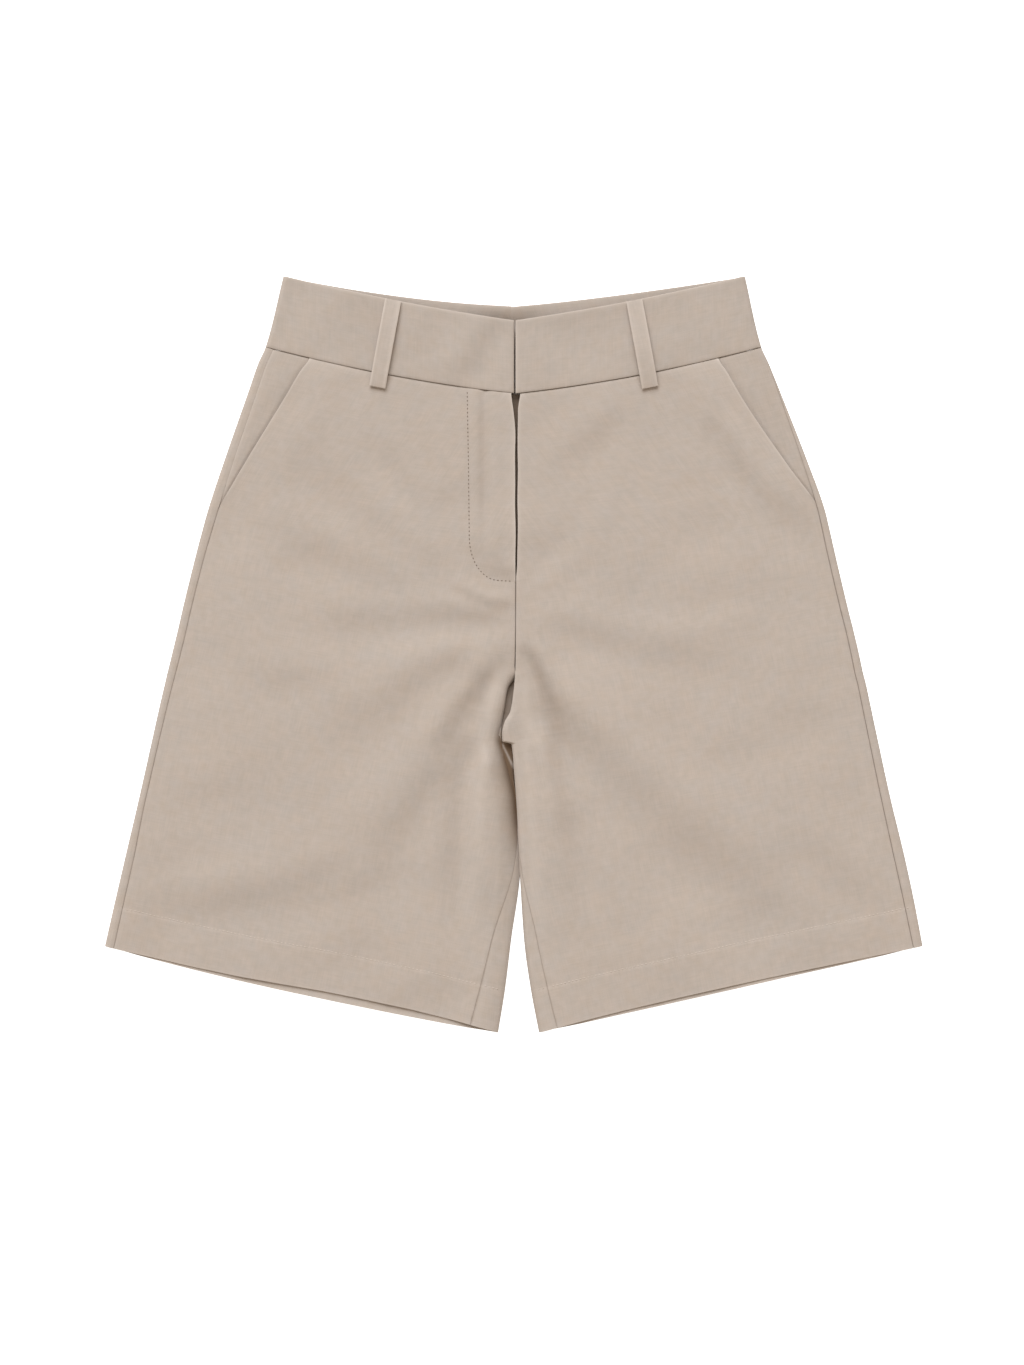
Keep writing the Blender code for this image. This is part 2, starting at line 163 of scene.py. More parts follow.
def table_finish():
    """Opal white sheet lit from beneath: faint cloudiness in its colour and gloss."""
    finish = Finish("white_table", TABLE_ROUGH)
    where = Value(finish, finish.add("TexCoord", {}, {}).outputs["Object"])
    cloud = finish.noise(where, TABLE_CLOUDS)
    finish.put(finish.surface.inputs["Base Color"], finish.blend(cloud, *TABLE_TONES))
    finish.put(finish.surface.inputs["Roughness"], TABLE_GLOSS[0] + cloud * TABLE_GLOSS[1])
    seen = Value(finish, finish.add("LightPath", {}, {}).outputs["Is Camera Ray"])
    finish.put(finish.surface.inputs["Emission Color"],
               finish.blend(seen, (TABLE_SPILL, TABLE_SPILL, TABLE_SPILL, 1), (1, 1, 1, 1)))
    finish.surface.inputs["Emission Strength"].default_value = TABLE_GLOW
    return finish.material


world = bpy.data.worlds.new("white_room")
world.use_nodes = True
room = world.node_tree.nodes["Background"]
room.inputs["Strength"].default_value = ROOM_LIGHT
looked_at = world.node_tree.nodes.new("ShaderNodeLightPath")
room_colour = world.node_tree.nodes.new("ShaderNodeMix")
room_colour.data_type = "RGBA"
room_colour.inputs[MIX_FIRST].default_value = ROOM_LIT
room_colour.inputs[MIX_SECOND].default_value = ROOM_SEEN
world.node_tree.links.new(looked_at.outputs["Is Camera Ray"], room_colour.inputs[0])
world.node_tree.links.new(room_colour.outputs[MIX_RESULT], room.inputs["Color"])
bpy.context.scene.world = world
key = bpy.data.lights.new("key", "SUN")
key.energy = KEY_LIGHT
key.color = KEY_COLOUR
key.angle = np.radians(KEY_BREADTH)
key_light = bpy.data.objects.new("key", key)
key_light.location = KEY_PLACE
key_light.rotation_euler = (np.radians(KEY_ABOVE - 90), 0, np.radians(KEY_ASIDE))
bpy.context.scene.collection.objects.link(key_light)

bpy.ops.mesh.primitive_plane_add(size=TABLE_SIZE, location=(0, 0, -TABLE_BELOW))
table = bpy.context.object
table.name = "table"
table.data.materials.append(table_finish())


# ---------------------------------------------------------------- back panels
# Two pieces of cloth that lie under the garment and roll up round the outside of each leg to
# the side seam and, below the fork, round its inside to the inseam. Hems are turned twice.

WALL = 0.7              # cloth with its seam finish
HEM_WALL = 1.3
FOLD = 3.8              # radius of the folds down the outside and the inside of a leg
QUARTER = FOLD * np.pi / 2
LEAST_BEND = 0.001      # an inner edge that lies flat still counts as bent by this much
LOFT = 3.1              # how much higher the middle of a leg lies than its folds
LOFT_REACH = 55.0
CREASE_REACH = 14.0
INNER_STEPS = (-18, -12, -6, 0, 6, 12, 18)      # the loft follows the inner edge's mean over these
HEM_SLUMP = 5.6         # how much the front sinks at the hem, but not along its sides
SLUMP_REACH = 210.0
SLUMP_MARGIN = 45.0
SLUMP_POWER = 1.4
HEM_CURL = 2.9          # the back's hem curls up off the table
CURL_REACH = 40.0
CURL_POWER = 1.5
REST_REACH = 20.0       # beside its folds the underside lies flat, and its ridges ease in
SEAM = 0.12
SEAM_DIP = 0.5          # seams are drawn in by this much
SEAM_DIP_REACH = 1.2
SEAM_SHALLOWER = 0.35   # and by this much less beside the pockets
INSEAM_DIP = {"left": 0.25, "right": 0.22}
INSEAM_GAP = {"left": (0.04, 0.04), "right": (-0.1, -0.01)}  # half the gap, at the fork and below
INSEAM_SHOWS = (365, 25)        # where the right inseam comes up from under its leg
POCKET_END = 174.0
TOP_Y = 286.9
BAND_DEPTH = 54.0
HEM_DOWN = 508.8
HEM_STITCH = 478.4      # the hem's sewing, down from the waist's corner
HEM_STEP = 0.28
HEM_EASE = 3.0
SAG_FROM = 420.0

# Sections slant across each half, from the outline to the inner edge. _l and _r: left and right.
# down: along the outline from the waist's corner; drop: how much lower the section ends
# out, in, back: the outline, the front's and the back's inner edge
# rise: how much higher the back's inner end lies
# roll, curl: how far the inner edge is turned under, of the front and of the back
# seam, mouth: the side seam and the front's edge, along the cloth from the outermost line
# inseam: the same from the innermost line
# bow_f, bow_b: how much higher the middle of the section lies, on the front and on the back
COLUMNS = (
    "down", "drop", "out_l", "out_r", "in_l", "in_r", "back_l", "back_r", "rise",
    "roll_l", "roll_r", "curl", "seam_l", "seam_r", "mouth_l", "mouth_r", "inseam_l", "inseam_r",
    "bow_f", "bow_b_l", "bow_b_r")
SECTIONS = {
    "band top":     (0.0, 34.2, 175.2, 175.9, 0.2, 1.4, -2.0, -2.0, 11.2,
                     0, 0, 0, 8.0, 0.0, 36.0, 35.0, 0, 0, -2.4, -3.4, -1.4),
    "band seam":    (54.0, 35.3, 188.8, 188.4, -1.7, 5.1, -2.0, -2.0, 10.4,
                     0, 0, 0, 8.2, 0.5, 36.0, 35.4, 0, 0, -3.7, -3.2, -3.2),
    "fly mouth":    (65.4, 36.4, 194.0, 193.6, -0.3, 3.3, -2.0, -2.0, 10.0,
                     0, 0, 0, 8.3, 1.6, 33.9, 33.9, 0, 0, -3.7, -3.2, -3.2),
    "fly":          (86.6, 38.0, 201.4, 202.2, 1.2, 2.9, -2.0, -2.0, 9.0,
                     0, 0, 0, 8.5, 3.5, 29.5, 30.7, 0, 0, -3.5, -3.0, -3.0),
    "hip":          (139.8, 38.0, 220.0, 223.1, 1.2, 2.9, -2.0, -2.0, 6.5,
                     0, 0, 0, 9.0, 6.0, 17.6, 17.8, 0, 0, -3.0, -2.5, -2.5),
    "pocket end":   (178.0, 40.3, 232.6, 236.8, 1.4, 2.6, -2.0, -2.0, 5.0,
                     0, 0, 0, 9.6, 7.5, 8.9, 5.6, 0, 0, -2.6, -2.2, -2.2),
    "fly foot":     (190.0, 41.4, 236.0, 239.7, 1.4, 1.75, -2.0, -2.0, 4.5,
                     0, 0, 0, 9.4, 7.7, 5.5, 3.4, 0, 0, -2.5, -2.1, -2.1),
    "seat":         (212.0, 43.4, 241.8, 244.7, 1.4, 1.6, -2.0, -2.0, 3.5,
                     0, 0, 0, 8.8, 7.9, 0, 0, 0, 0, -2.2, -2.0, -2.0),
    "fork top":     (253.1, 44.8, 251.9, 254.4, 0.7, 1.2, -2.0, -2.0, 2.0,
                     0.1, 0.1, 0, 8.6, 8.0, 0, 0, 0, 0, -1.8, -1.8, -1.8),
    "fork open":    (269.0, 45.6, 255.5, 258.4, -4.8, -0.1, -2.0, -1.9, 1.4,
                     0.8, 0.4, 0, 8.6, 8.0, 0, 0, 0, 0, -1.6, -1.7, -1.7),
    "fork low":     (284.2, 46.4, 259.2, 262.0, -7.4, -2.6, -2.0, -1.9, 0.9,
                     0.9, 0.5, 0, 8.6, 8.2, 0, 0, 0, 0, -1.5, -1.7, -1.7),
    "nub shoulder": (292.5, 46.8, 261.2, 263.8, -8.8, -7.2, -2.0, -1.9, 0.6,
                     0.9, 0.6, 0.02, 8.5, 8.3, 0, 0, 0, 0, -1.4, -1.6, -1.6),
    "nub":          (301.0, 47.1, 263.3, 265.6, -9.8, -9.0, -2.0, -1.9, 0.4,
                     0.8, 0.8, 0.05, 8.4, 8.4, 0, 0, 0, 0, -1.3, -1.6, -1.6),
    "nub foot":     (306.0, 47.7, 264.5, 266.9, -9.8, -8.8, -2.0, -1.9, 0.25,
                     0.7, 0.95, 0.12, 8.3, 8.4, 0, 0, 0, 0, -1.2, -1.6, -1.6),
    "nub base":     (307.8, 47.9, 264.9, 267.4, -9.5, -1.9, -2.0, -1.9, 0.2,
                     0.7, 1, 0.15, 8.2, 8.4, 0, 0, 0, 0, -1.2, -1.6, -1.6),
    "inner thigh":  (325.3, 50.1, 269.0, 271.2, -3.6, -0.2, -1.1, -1.6, 0,
                     0.7, 1, 0.5, 8.0, 8.6, 0, 0, 0, 0, -1.0, -1.6, -1.6),
    "thigh":        (352.6, 51.7, 275.1, 277.0, 2.5, 2.3, 2.5, 2.3, 0,
                     0.8, 1, 1, 7.6, 8.8, 0, 0, 0.6, 0, -0.5, -1.7, -1.7),
    "legs part":    (396.0, 53.9, 284.8, 286.4, 4.9, 4.4, 4.9, 4.4, 0,
                     1, 1, 1, 7.4, 9.2, 0, 0, 6.9, 3.3, 0.2, -1.8, -1.8),
    "mid leg":      (443.8, 61.4, 296.0, 297.9, -2.0, 7.9, -2.0, 7.9, 0,
                     1, 1, 1, 8.8, 10.2, 0, 0, 16.2, 11.8, 1.0, -2.2, -1.6),
    "hem stitch":   (478.0, 65.0, 304.0, 305.2, -6.7, 13.1, -6.7, 13.1, 0,
                     1, 1, 1, 9.0, 10.0, 0, 0, 20.5, 14.6, 1.6, -2.8, -1.2),
    "hem":          (508.8, 66.2, 311.0, 311.0, -11.9, 19.2, -11.9, 19.2, 0,
                     1, 1, 1, 9.2, 9.4, 0, 0, 23.4, 16.2, 2.7, -3.6, -1.0),
}
# How much higher each layer's hem line lies, at even steps from the outline to the inner edge.
HEM_SAG = {
    ("left", "front"): (-0.6, -2.2, -3.3, -3.5, -2.4, -0.7, 0.2, 1.0, 0.8, 0),
    ("left", "back"): (-0.6, -1.0, -1.2, -1.2, -1.0, -0.7, -0.6, -0.6, -0.6, -0.3),
    ("right", "front"): (-0.3, -1.0, -1.0, -0.9, -0.7, -0.5, -0.3, 0, 0, 0),
    ("right", "back"): (-0.3, -0.7, -0.4, -0.1, 0, 0, 0, 0, -0.2, 0),
}
SECTION_TABLE = dict(zip(COLUMNS, np.array(list(SECTIONS.values()), dtype=float).T))

# Folds: height, half width at both ends, then the points of the line down the middle of the
# slope. Above the line a fold stands up by its height and below it the fold sinks as far.
FOLDS = {
    "left": {
        "fork main":    (1.7, 9, 21, (-2, 12), (-11, -5), (-27, -26), (-46, -57), (-60, -83),
                         (-78, -108), (-100, -131), (-124, -150)),
        "fork long":    (1.0, 12, 15, (-112, -148), (-140, -163), (-168, -174), (-206, -184),
                         (-256, -193), (-306, -198)),
        "leg middle":   (1.5, 20, 30, (-62, -92), (-86, -124), (-108, -156), (-128, -204)),
        "fork upper":   (1.45, 9, 27, (-26, 4), (-44, -3), (-66, -15), (-94, -32), (-128, -54),
                         (-172, -74)),
        "level":        (1.05, 8, 15, (6, 30), (-30, 31), (-70, 29), (-110, 27), (-180, 20)),
        "under fly":    (0.6, 3.5, 5, (4, 36), (-20, 39), (-44, 50), (-62, 62)),
        "thigh lower":  (0.4, 8, 18, (-46, -72), (-66, -102), (-88, -138), (-110, -180),
                         (-124, -214)),
        "knee":         (0.5, 9, 12, (-98, -172), (-150, -186), (-210, -206)),
        "inner steep":  (-2.7, 8, 10, (-22, -62), (-31, -95), (-32, -130), (-31, -170),
                         (-29, -215)),
        "hip low":      (0.9, 13, 17, (-56, 40), (-110, 66), (-160, 86), (-205, 101), (-240, 108)),
        "hip high":     (0.95, 12, 17, (-44, 60), (-92, 88), (-122, 114), (-150, 142), (-172, 176)),
        "front":        (0.7, 8, 11, (-70, 112), (-92, 144), (-112, 182)),
        "side":         (0.45, 14, 16, (-110, -34), (-160, -22), (-215, -4), (-246, 12)),
        "side low":     (0.4, 12, 15, (-200, -96), (-240, -108), (-275, -112)),
    },
    "right": {
        "fork main":    (1.3, 5, 11, (7, 10), (13, 0), (18, -14), (25, -32), (34, -52), (42, -76)),
        "inner bright": (1.5, 8, 9, (10, -46), (14, -90), (17, -150), (23, -220)),
        "inner steep":  (-1.2, 8, 11, (26, -50), (33, -84), (40, -124), (49, -170), (56, -216)),
        "diagonal":     (2.5, 14, 33, (14, -14), (28, -37), (45, -56), (67, -79), (92, -102),
                         (122, -129), (156, -158), (204, -196), (252, -236)),
        "seat":         (1.1, 10, 21, (16, 30), (48, 18), (80, 9), (110, 2), (150, -6), (215, -12)),
        "hem corner":   (1.4, 15, 18, (196, -124), (232, -150), (262, -180), (286, -216)),
        "low steep":    (0.4, 6, 9, (58, -150), (76, -190), (92, -236)),
        "pocket":       (1.3, 8, 15, (152, 186), (166, 153), (184, 125), (208, 104), (244, 90)),
        "front":        (0.7, 9, 14, (92, 196), (66, 172), (38, 146), (12, 104)),
        "front ridge":  (-0.5, 8, 11, (8, 46), (36, 72), (60, 104), (78, 148)),
        "hip":          (0.4, 12, 15, (96, 34), (140, 44), (190, 52), (248, 50)),
        "side":         (0.45, 13, 15, (170, -50), (214, -46), (262, -52)),
        "hip low":      (-0.35, 12, 15, (110, 70), (160, 84), (214, 84)),
    },
}
# Narrow valleys between folds: height, half width at both ends, then the points of their line.
VALLEYS = {
    "left": {
        "fork":  (-0.9, 7, 10, (-26, -26), (-40, -46), (-52, -66), (-62, -88)),
    },
    "right": {
        "fork":  (-2.2, 5, 13, (7, 10), (12, 0), (17, -14), (24, -30), (34, -48), (52, -68)),
        "steep": (-1.2, 7, 10, (28, -52), (35, -88), (42, -130), (50, -180)),
    },
}
# Painted shade in the hollows between folds: share of the painted shade's colour, then as above.
# Below 0 a painted highlight instead, as on the folds beside the gap between the legs.
PAINTED_HOLLOWS = {
    "left": {
        "fork":     (0.085, 4, 12, (-16, -9), (-32, -33), (-46, -56), (-64, -90)),
        "inner":    (0.055, 9, 13, (-42, -70), (-48, -130), (-52, -225)),
        "lit edge": (-0.2, 5, 8, (-13, -32), (-22, -70), (-29, -120), (-30, -225)),
        "lit fork": (-0.45, 4, 5, (-9, -6), (-15, -21), (-18, -42), (-19, -72)),
        "facing":   (0.05, 4, 5, (-23, 204), (-24, 150), (-23, 104), (-21, 62)),
        "fly foot": (0.06, 9, 11, (-34, 88), (-18, 69), (6, 64)),
    },
    "right": {
        "fork":     (0.17, 3, 11, (11, 3), (17, -12), (24, -30), (31, -50), (38, -80)),
        "inner":    (0.07, 6, 12, (24, -36), (34, -84), (42, -130), (54, -215)),
        "lit edge": (-0.2, 3.5, 6, (3, -30), (9, -80), (13, -130), (20, -230)),
        "lit fork": (-0.5, 5, 6, (9, -14), (9, -34), (10, -54), (13, -74)),
    },
}
# The underside rests on the table and is lifted off it only along these low ridges.
BACK_RIDGES = {
    "left seat":   (0.9, 10, 16, (-20, 36), (-110, 62), (-190, 72)),
    "left fork":   (1.0, 8, 14, (-12, -10), (-58, -62), (-92, -124)),
    "left thigh":  (0.8, 14, 16, (-70, -70), (-150, -120), (-234, -152)),
    "fork bunch":  (0.8, 4, 6, (0, 6), (-3, -30), (-5, -56), (-5, -84)),
    "right seat":  (0.9, 10, 15, (16, 42), (95, 58), (182, 76)),
    "right fork":  (1.0, 8, 14, (10, -6), (48, -60), (92, -106)),
    "right thigh": (0.8, 13, 16, (64, -84), (140, -128), (224, -172)),
}
# Slow waves all over the cloth: which way they run in degrees, length, height.
WAVES = ((24, 98, 0.26), (-38, 73, 0.22), (64, 87, 0.18), (118, 66, 0.13), (-82, 112, 0.2))
WAVE_BEND = 0.8
CURVE_PIECES = 24
CURVE_ROUNDS = 12
FOLD_HEAD = 3           # a fold eases in over this many half widths
RIDGE_HEAD = 0.2        # a ridge over this share of its length
TAIL = 0.4              # both die away over this share


def side_sign(side):
    return -1 if side == "left" else 1


def ease(t):
    """0 up to 0, 1 from 1, and 3t^2 - 2t^3 between them."""
    t = np.clip(t, 0, 1)
    return t * t * (3 - 2 * t)


def bell(distance, half):
    """1 on a line and dying away on both sides of it: exp(-(distance / half width)^2)."""
    return np.exp(-(distance / half) ** 2)


def past(down, place):
    """0 above a place on the way down and 1 below it; a place is its start and its length."""
    return ease((down - place[0]) / place[1])


def at(column, side, down):
    """A column of the sections at any distance down, by a cubic that never overshoots.

    Its slope at each section is the harmonic mean of the chords on both sides of it.
    """
    name = column if column in SECTION_TABLE else f"{column}_{side[0]}"
    xs, ys = SECTION_TABLE["down"], SECTION_TABLE[name]
    step = np.diff(xs)
    chord = np.diff(ys) / step
    slope = np.concatenate(([chord[0]], np.zeros(len(xs) - 2), [chord[-1]]))
    same = chord[:-1] * chord[1:] > 0
    before, after = chord[:-1][same], chord[1:][same]
    slope[1:-1][same] = 2 * before * after / (before + after)
    i = np.clip(np.searchsorted(xs, down) - 1, 0, len(xs) - 2)
    t = (down - xs[i]) / step[i]
    ends = (1 - t) ** 2 * (1 + 2 * t) * ys[i] + t ** 2 * (3 - 2 * t) * ys[i + 1]
    return ends + t * (1 - t) * step[i] * ((1 - t) * slope[i] - t * slope[i + 1])


def distance_to(line, x, y):
    """Distance of each point to the nearest piece of a line, below 0 over it, and how far along."""
    nearest, share = np.full_like(x, np.inf), np.zeros_like(x)
    rightwards = 1 if line[-1][0] >= line[0][0] else -1
    for k, ((x0, y0), (x1, y1)) in enumerate(zip(line[:-1], line[1:])):
        ahead, up = x1 - x0, y1 - y0
        along = np.clip(((x - x0) * ahead + (y - y0) * up) / (ahead ** 2 + up ** 2), 0, 1)
        gap = np.hypot(x - x0 - along * ahead, y - y0 - along * up)
        gap = np.where(rightwards * ((x - x0) * up - (y - y0) * ahead) < 0, -gap, gap)
        share = np.where(np.abs(gap) < np.abs(nearest), (k + along) / (len(line) - 1), share)
        nearest = np.where(np.abs(gap) < np.abs(nearest), gap, nearest)
    return nearest, share


def read_along(line, run, places):
    """Points of a line at places along it; `run` is how far along its own points lie."""
    return np.stack([np.interp(places, run, column) for column in line.T], axis=-1)


def softened(line):
    """A smooth curve near a line's points: 24 even pieces, each joint drawn to its neighbours."""
    line = np.array(line, dtype=float)
    run = np.concatenate(([0], np.cumsum(np.hypot(*np.diff(line, axis=0).T))))
    even = read_along(line, run, np.linspace(0, run[-1], CURVE_PIECES + 1))
    for _ in range(CURVE_ROUNDS):
        even[1:-1] = even[1:-1] / 2 + (even[:-2] + even[2:]) / 4
    return [tuple(point) for point in even], run[-1]


def folded(folds, x, y):
    """Sum over the folds of -height times s exp((1 - s^2) / 2), s the distance in half widths.

    The half width goes from one end's to the other's. The height eases in over three half widths
    and dies away over the last two fifths.
    """
    total = np.zeros_like(x)
    for height, start, end, *points in folds.values():
        line, length = softened(points)
        gap, share = distance_to(line, x, y)
        fade = ease(share * length / (FOLD_HEAD * start)) * ease((1 - share) / TAIL)
        s = gap / (start + (end - start) * share)
        total -= height * fade * s * np.exp((1 - s ** 2) / 2)
    return total


def ridged(ridges, x, y):
    """Sum over the ridges of height times a bell across their line, fading at both ends."""
    total = np.zeros_like(x)
    for height, start, end, *points in ridges.values():
        line, _ = softened(points)
        gap, share = distance_to(line, x, y)
        fade = ease(share / RIDGE_HEAD) * ease((1 - share) / TAIL)
        total += height * fade * bell(gap, start + (end - start) * share)
    return total


def waved(x, y):
    """Slow crossing waves, each bent by the next one's, so that none of them repeats evenly."""
    total, bend = np.zeros_like(x), np.zeros_like(x)
    for way, length, height in WAVES:
        ahead = x * np.cos(np.radians(way)) + y * np.sin(np.radians(way))
        bend = np.sin(2 * np.pi * ahead / length + WAVE_BEND * bend)
        total += height * bend
    return total


def line_y(side, down, reach, layer):
    """Y of a section's line at a distance in from the outline: straight, plus a parabolic bow."""
    span = at("out", side, down) - side_sign(side) * at("in", side, down)
    t = reach / span
    drop = at("drop", side, down) - (at("rise", side, down) if layer == "back" else 0)
    bow = at("bow_f" if layer == "front" else "bow_b", side, down)
    sag = HEM_SAG[side, layer]
    sag = np.interp(t, np.linspace(0, 1, len(sag)), sag)
    sag = sag * past(down, (SAG_FROM, HEM_DOWN - SAG_FROM))
    return TOP_Y - down - drop * t + 4 * bow * t * (1 - t) + sag


def top_height(side, down, reach, x, y, folds):
    """Height of the upper layer: the side fold's, a loft that eases in from it, folds and waves.

    Towards the hem the layer sinks. A band's or a loop's own folds go without the valleys.
    """
    valleys = VALLEYS[side] if folds is FOLDS[side] else {}
    inner_edge = sum(at("in", side, down + step) for step in INNER_STEPS) / len(INNER_STEPS)
    inner = at("out", side, down) - side_sign(side) * inner_edge - reach
    roll = at("roll", side, down)
    loft, near = (ease((reach - FOLD) / margin) * (1 - roll * (1 - ease((inner - FOLD) / margin)))
                  for margin in (LOFT_REACH, CREASE_REACH))
    slump = HEM_SLUMP * np.clip(1 - (HEM_DOWN - down) / SLUMP_REACH, 0, 1) ** SLUMP_POWER
    slump = slump * ease((reach - FOLD) / SLUMP_MARGIN) * ease((inner - FOLD) / SLUMP_MARGIN)
    creases = folded(folds, x, y) + ridged(valleys, x, y) + waved(x, y)
    return 2 * FOLD + LOFT * loft + near * creases - slump


def under_height(side, down, reach, x, y):
    """Height of the underside, which rests on the table but for its ridges and curled hem."""
    inner = at("out", side, down) - side_sign(side) * at("back", side, down) - reach
    outer_share = ease((reach - 2 * FOLD) / REST_REACH)
    inner_share = 1 - at("curl", side, down) * (1 - ease((inner - 2 * FOLD) / REST_REACH))
    curl = HEM_CURL * np.clip(1 - (HEM_DOWN - down) / CURL_REACH, 0, 1) ** CURL_POWER
    return outer_share * inner_share * (ridged(BACK_RIDGES, x, y) + curl)


def outer_part(side, down, path, folds):
    """Points at a path length from the outermost line: above 0 over the top, below 0 beneath.

    Within a quarter turn of the fold the reach is FOLD (1 - cos) and the height FOLD (1 + sin).
    """
    angle = np.clip(path / FOLD, -np.pi / 2, np.pi / 2)
    reach = FOLD * (1 - np.cos(angle)) + np.maximum(np.abs(path) - QUARTER, 0)
    x = side_sign(side) * (at("out", side, down) - reach)
    y = np.where(path > 0, line_y(side, down, reach, "front"), line_y(side, down, reach, "back"))
    z = FOLD * (1 + np.sin(angle))
    z = np.where(path > QUARTER, top_height(side, down, reach, x, y, folds), z)
    z = np.where(path < -QUARTER, under_height(side, down, reach, x, y), z)
    return np.stack((x, y, z), axis=-1)


def tail_bend(layer, side, down):
    """Curvature of a layer's last quarter turn, and how far inwards that turn reaches."""
    share = at("roll" if layer == "front" else "curl", side, down)
    bend = np.maximum(share, LEAST_BEND) / FOLD
    return bend, np.sin(np.minimum(bend * QUARTER, np.pi / 2)) / bend


def inseam_shown(side, down):
    """1 where the inseam's line shows: all down the left leg, and the lower part of the right."""
    return 1 if side == "left" else past(down, INSEAM_SHOWS)


def inseam_gap(side, down):
    """Half the gap between the two panels along the inseam; below 0 their edges overlap."""
    above, below = INSEAM_GAP[side]
    return above + (below - above) * inseam_shown(side, down)


def inner_part(side, down, path, layer, folds):
    """Points at a path length from the innermost line, outwards along the front or the back.

    The last quarter turn is an arc of the row's own curvature; a path below 0 goes on round it.
    """
    bend, widest = tail_bend(layer, side, down)
    edge = at("in" if layer == "front" else "back", side, down)
    tail = QUARTER - path
    angle = np.clip(bend * tail, 0, np.pi)
    over = np.maximum(tail - 2 * QUARTER, 0)
    x = edge + side_sign(side) * (widest - np.sin(angle) / bend + np.maximum(-tail, 0) + over)
    reach = at("out", side, down) - side_sign(side) * x
    other = "back" if layer == "front" else "front"
    turned = line_y(side, down, reach, other)
    y = np.where(angle > np.pi / 2, turned, line_y(side, down, reach, layer))
    lift = (1 - np.cos(angle)) / bend
    top = top_height(side, down, reach, x, y, folds)
    if layer == "front":
        z = top - lift
    else:
        under = np.where(tail < 0, under_height(side, down, reach, x, y), 0)
        z = np.where(over > 0, top, lift + under)
    return np.stack((x, y, z), axis=-1)


PRESS = 0.93            # share of its height that the left leg loses along its inner edge
PRESS_REACH = 15.5
PRESS_POWER = 1.5
PRESS_FROM = (272, 34)  # from the fork on
PRESS_HALVES = (390, 80)


def pressed(side, down, points):
    """The left leg falls away towards its inner edge, over which the right leg lies."""
    if side == "right":
        return points
    inner = at("in", side, down) - points[..., 0]
    where = past(down, PRESS_FROM) * (1 - 0.5 * past(down, PRESS_HALVES))
    low = PRESS * where * np.clip(1 - inner / PRESS_REACH, 0, 1) ** PRESS_POWER
    return np.stack((points[..., 0], points[..., 1], points[..., 2] * (1 - low)), axis=-1)


CELL = 2.6
LEAST_CELL = 0.05


def lines(start, end, *fine):
    """Rows from start to end, CELL apart, and closer round each (place, half width, cell)."""
    even, close = np.linspace(start, end, int(np.ceil((end - start) / CELL)) + 1), []
    for place, half, cell in fine:
        even = even[np.abs(even - place) > half]
        close.append(np.arange(place - half, place + half + cell / 2, cell))
    rows = np.sort(np.concatenate([even] + close))
    rows = rows[(rows >= start) & (rows <= end)]
    rows = rows[np.concatenate(([True], np.diff(rows) > LEAST_CELL))]
    rows[0], rows[-1] = start, end
    return rows[:, None]


def strips(start, *parts):
    """Columns from edge to edge; a part is its far edge, its steps and a power, 1 if left out.

    They lie at start + (end - start) t^power, with t in even steps from 0 to 1.
    """
    columns = [start]
    for end, steps, *power in parts:
        t = np.linspace(0, 1, steps + 1)[None, 1:] ** (power or [1])[0]
        columns.append(start + (end - start) * t + 0 * columns[0])
        start = end
    return np.concatenate(columns, axis=1)


RIPPLES = ((2.1, 1.0, 1), (3.7, 0.7, 2), (7.3, 0.5, 3))     # length, height, share of the seed
PUCKER = 0.13
PUCKER_REACH = 4.0
HEM_STEP_ABOVE = 1.0
HEM_LINE = (0.04, 0.9)          # depth and half width


def ripple(down, seed):
    """An uneven ripple along a seam, -1 to 1: three sines whose lengths don't share a beat."""
    sines = [height * np.sin(down / length + turn * seed) for length, height, turn in RIPPLES]
    return sum(sines) / sum(height for _, height, _ in RIPPLES)


def drawn_in(gap, down, seed, depth=SEAM_DIP):
    """What a seam takes off the height: a dip at the edge, and puckers that fade beside it."""
    puckers = PUCKER * ripple(down, seed) * np.exp(-gap / PUCKER_REACH)
    return depth * np.exp(-gap / SEAM_DIP_REACH) - puckers


def hem_form(down):
    """The hem's turned cloth lifts the surface by a step, and its sewing draws a fine line in."""
    depth, half = HEM_LINE
    step = HEM_STEP * ease((down - HEM_STITCH + HEM_STEP_ABOVE) / HEM_EASE)
    return step - depth * bell(down - HEM_STITCH, half)


def hem_share(down):
    """Share of the hem's wall: plain cloth above the hem's sewing, doubled cloth below it."""
    plain = WALL / HEM_WALL
    return plain + (1 - plain) * past(down, (HEM_STITCH, HEM_EASE))


CLOTH_WARM = (0.552, 0.446, 0.357, 1)
CLOTH_COOL = (0.494, 0.444, 0.399, 1)
CLOTH_DEEP = (0.471, 0.399, 0.327, 1)
CLOTH_PALE = (0.575, 0.491, 0.429, 1)
# The next two are painted light: a highlight for folded edges and lit folds, and shade for seams,
# hollows and gaps.
CLOTH_PAINTED_HIGHLIGHT = (0.690, 0.600, 0.520, 1)
CLOTH_PAINTED_SHADE = (0.115, 0.055, 0.014, 1)
CLOTH_ROUGH = 0.86
CLOTH_SHEEN = 0.12
CLOTH_GLOSS = (0.80, 0.14)      # least roughness, and how much its threads add
THREAD_PITCH = 0.00056
THREAD_RELIEF = 0.00012
WARP, WEFT = (1300, 45, 1), (45, 1300, 1)       # waves a metre, across and along the cloth
CLOUDS, MOTTLE, SPECKLE = (16, 16, 1), (90, 90, 1), (170, 170, 1)
# share and reach of the painted highlight, then reach and share of the painted shade along seams
HIGHLIGHT_SHARE = 0.72
HIGHLIGHT_FADE = 1.3
SEAM_SHADE_FADE = 0.28
SEAM_SHADE_SHARE = 0.34
FAR = 99.0              # a distance from an edge that isn't there
RIM_ANGLE = 50


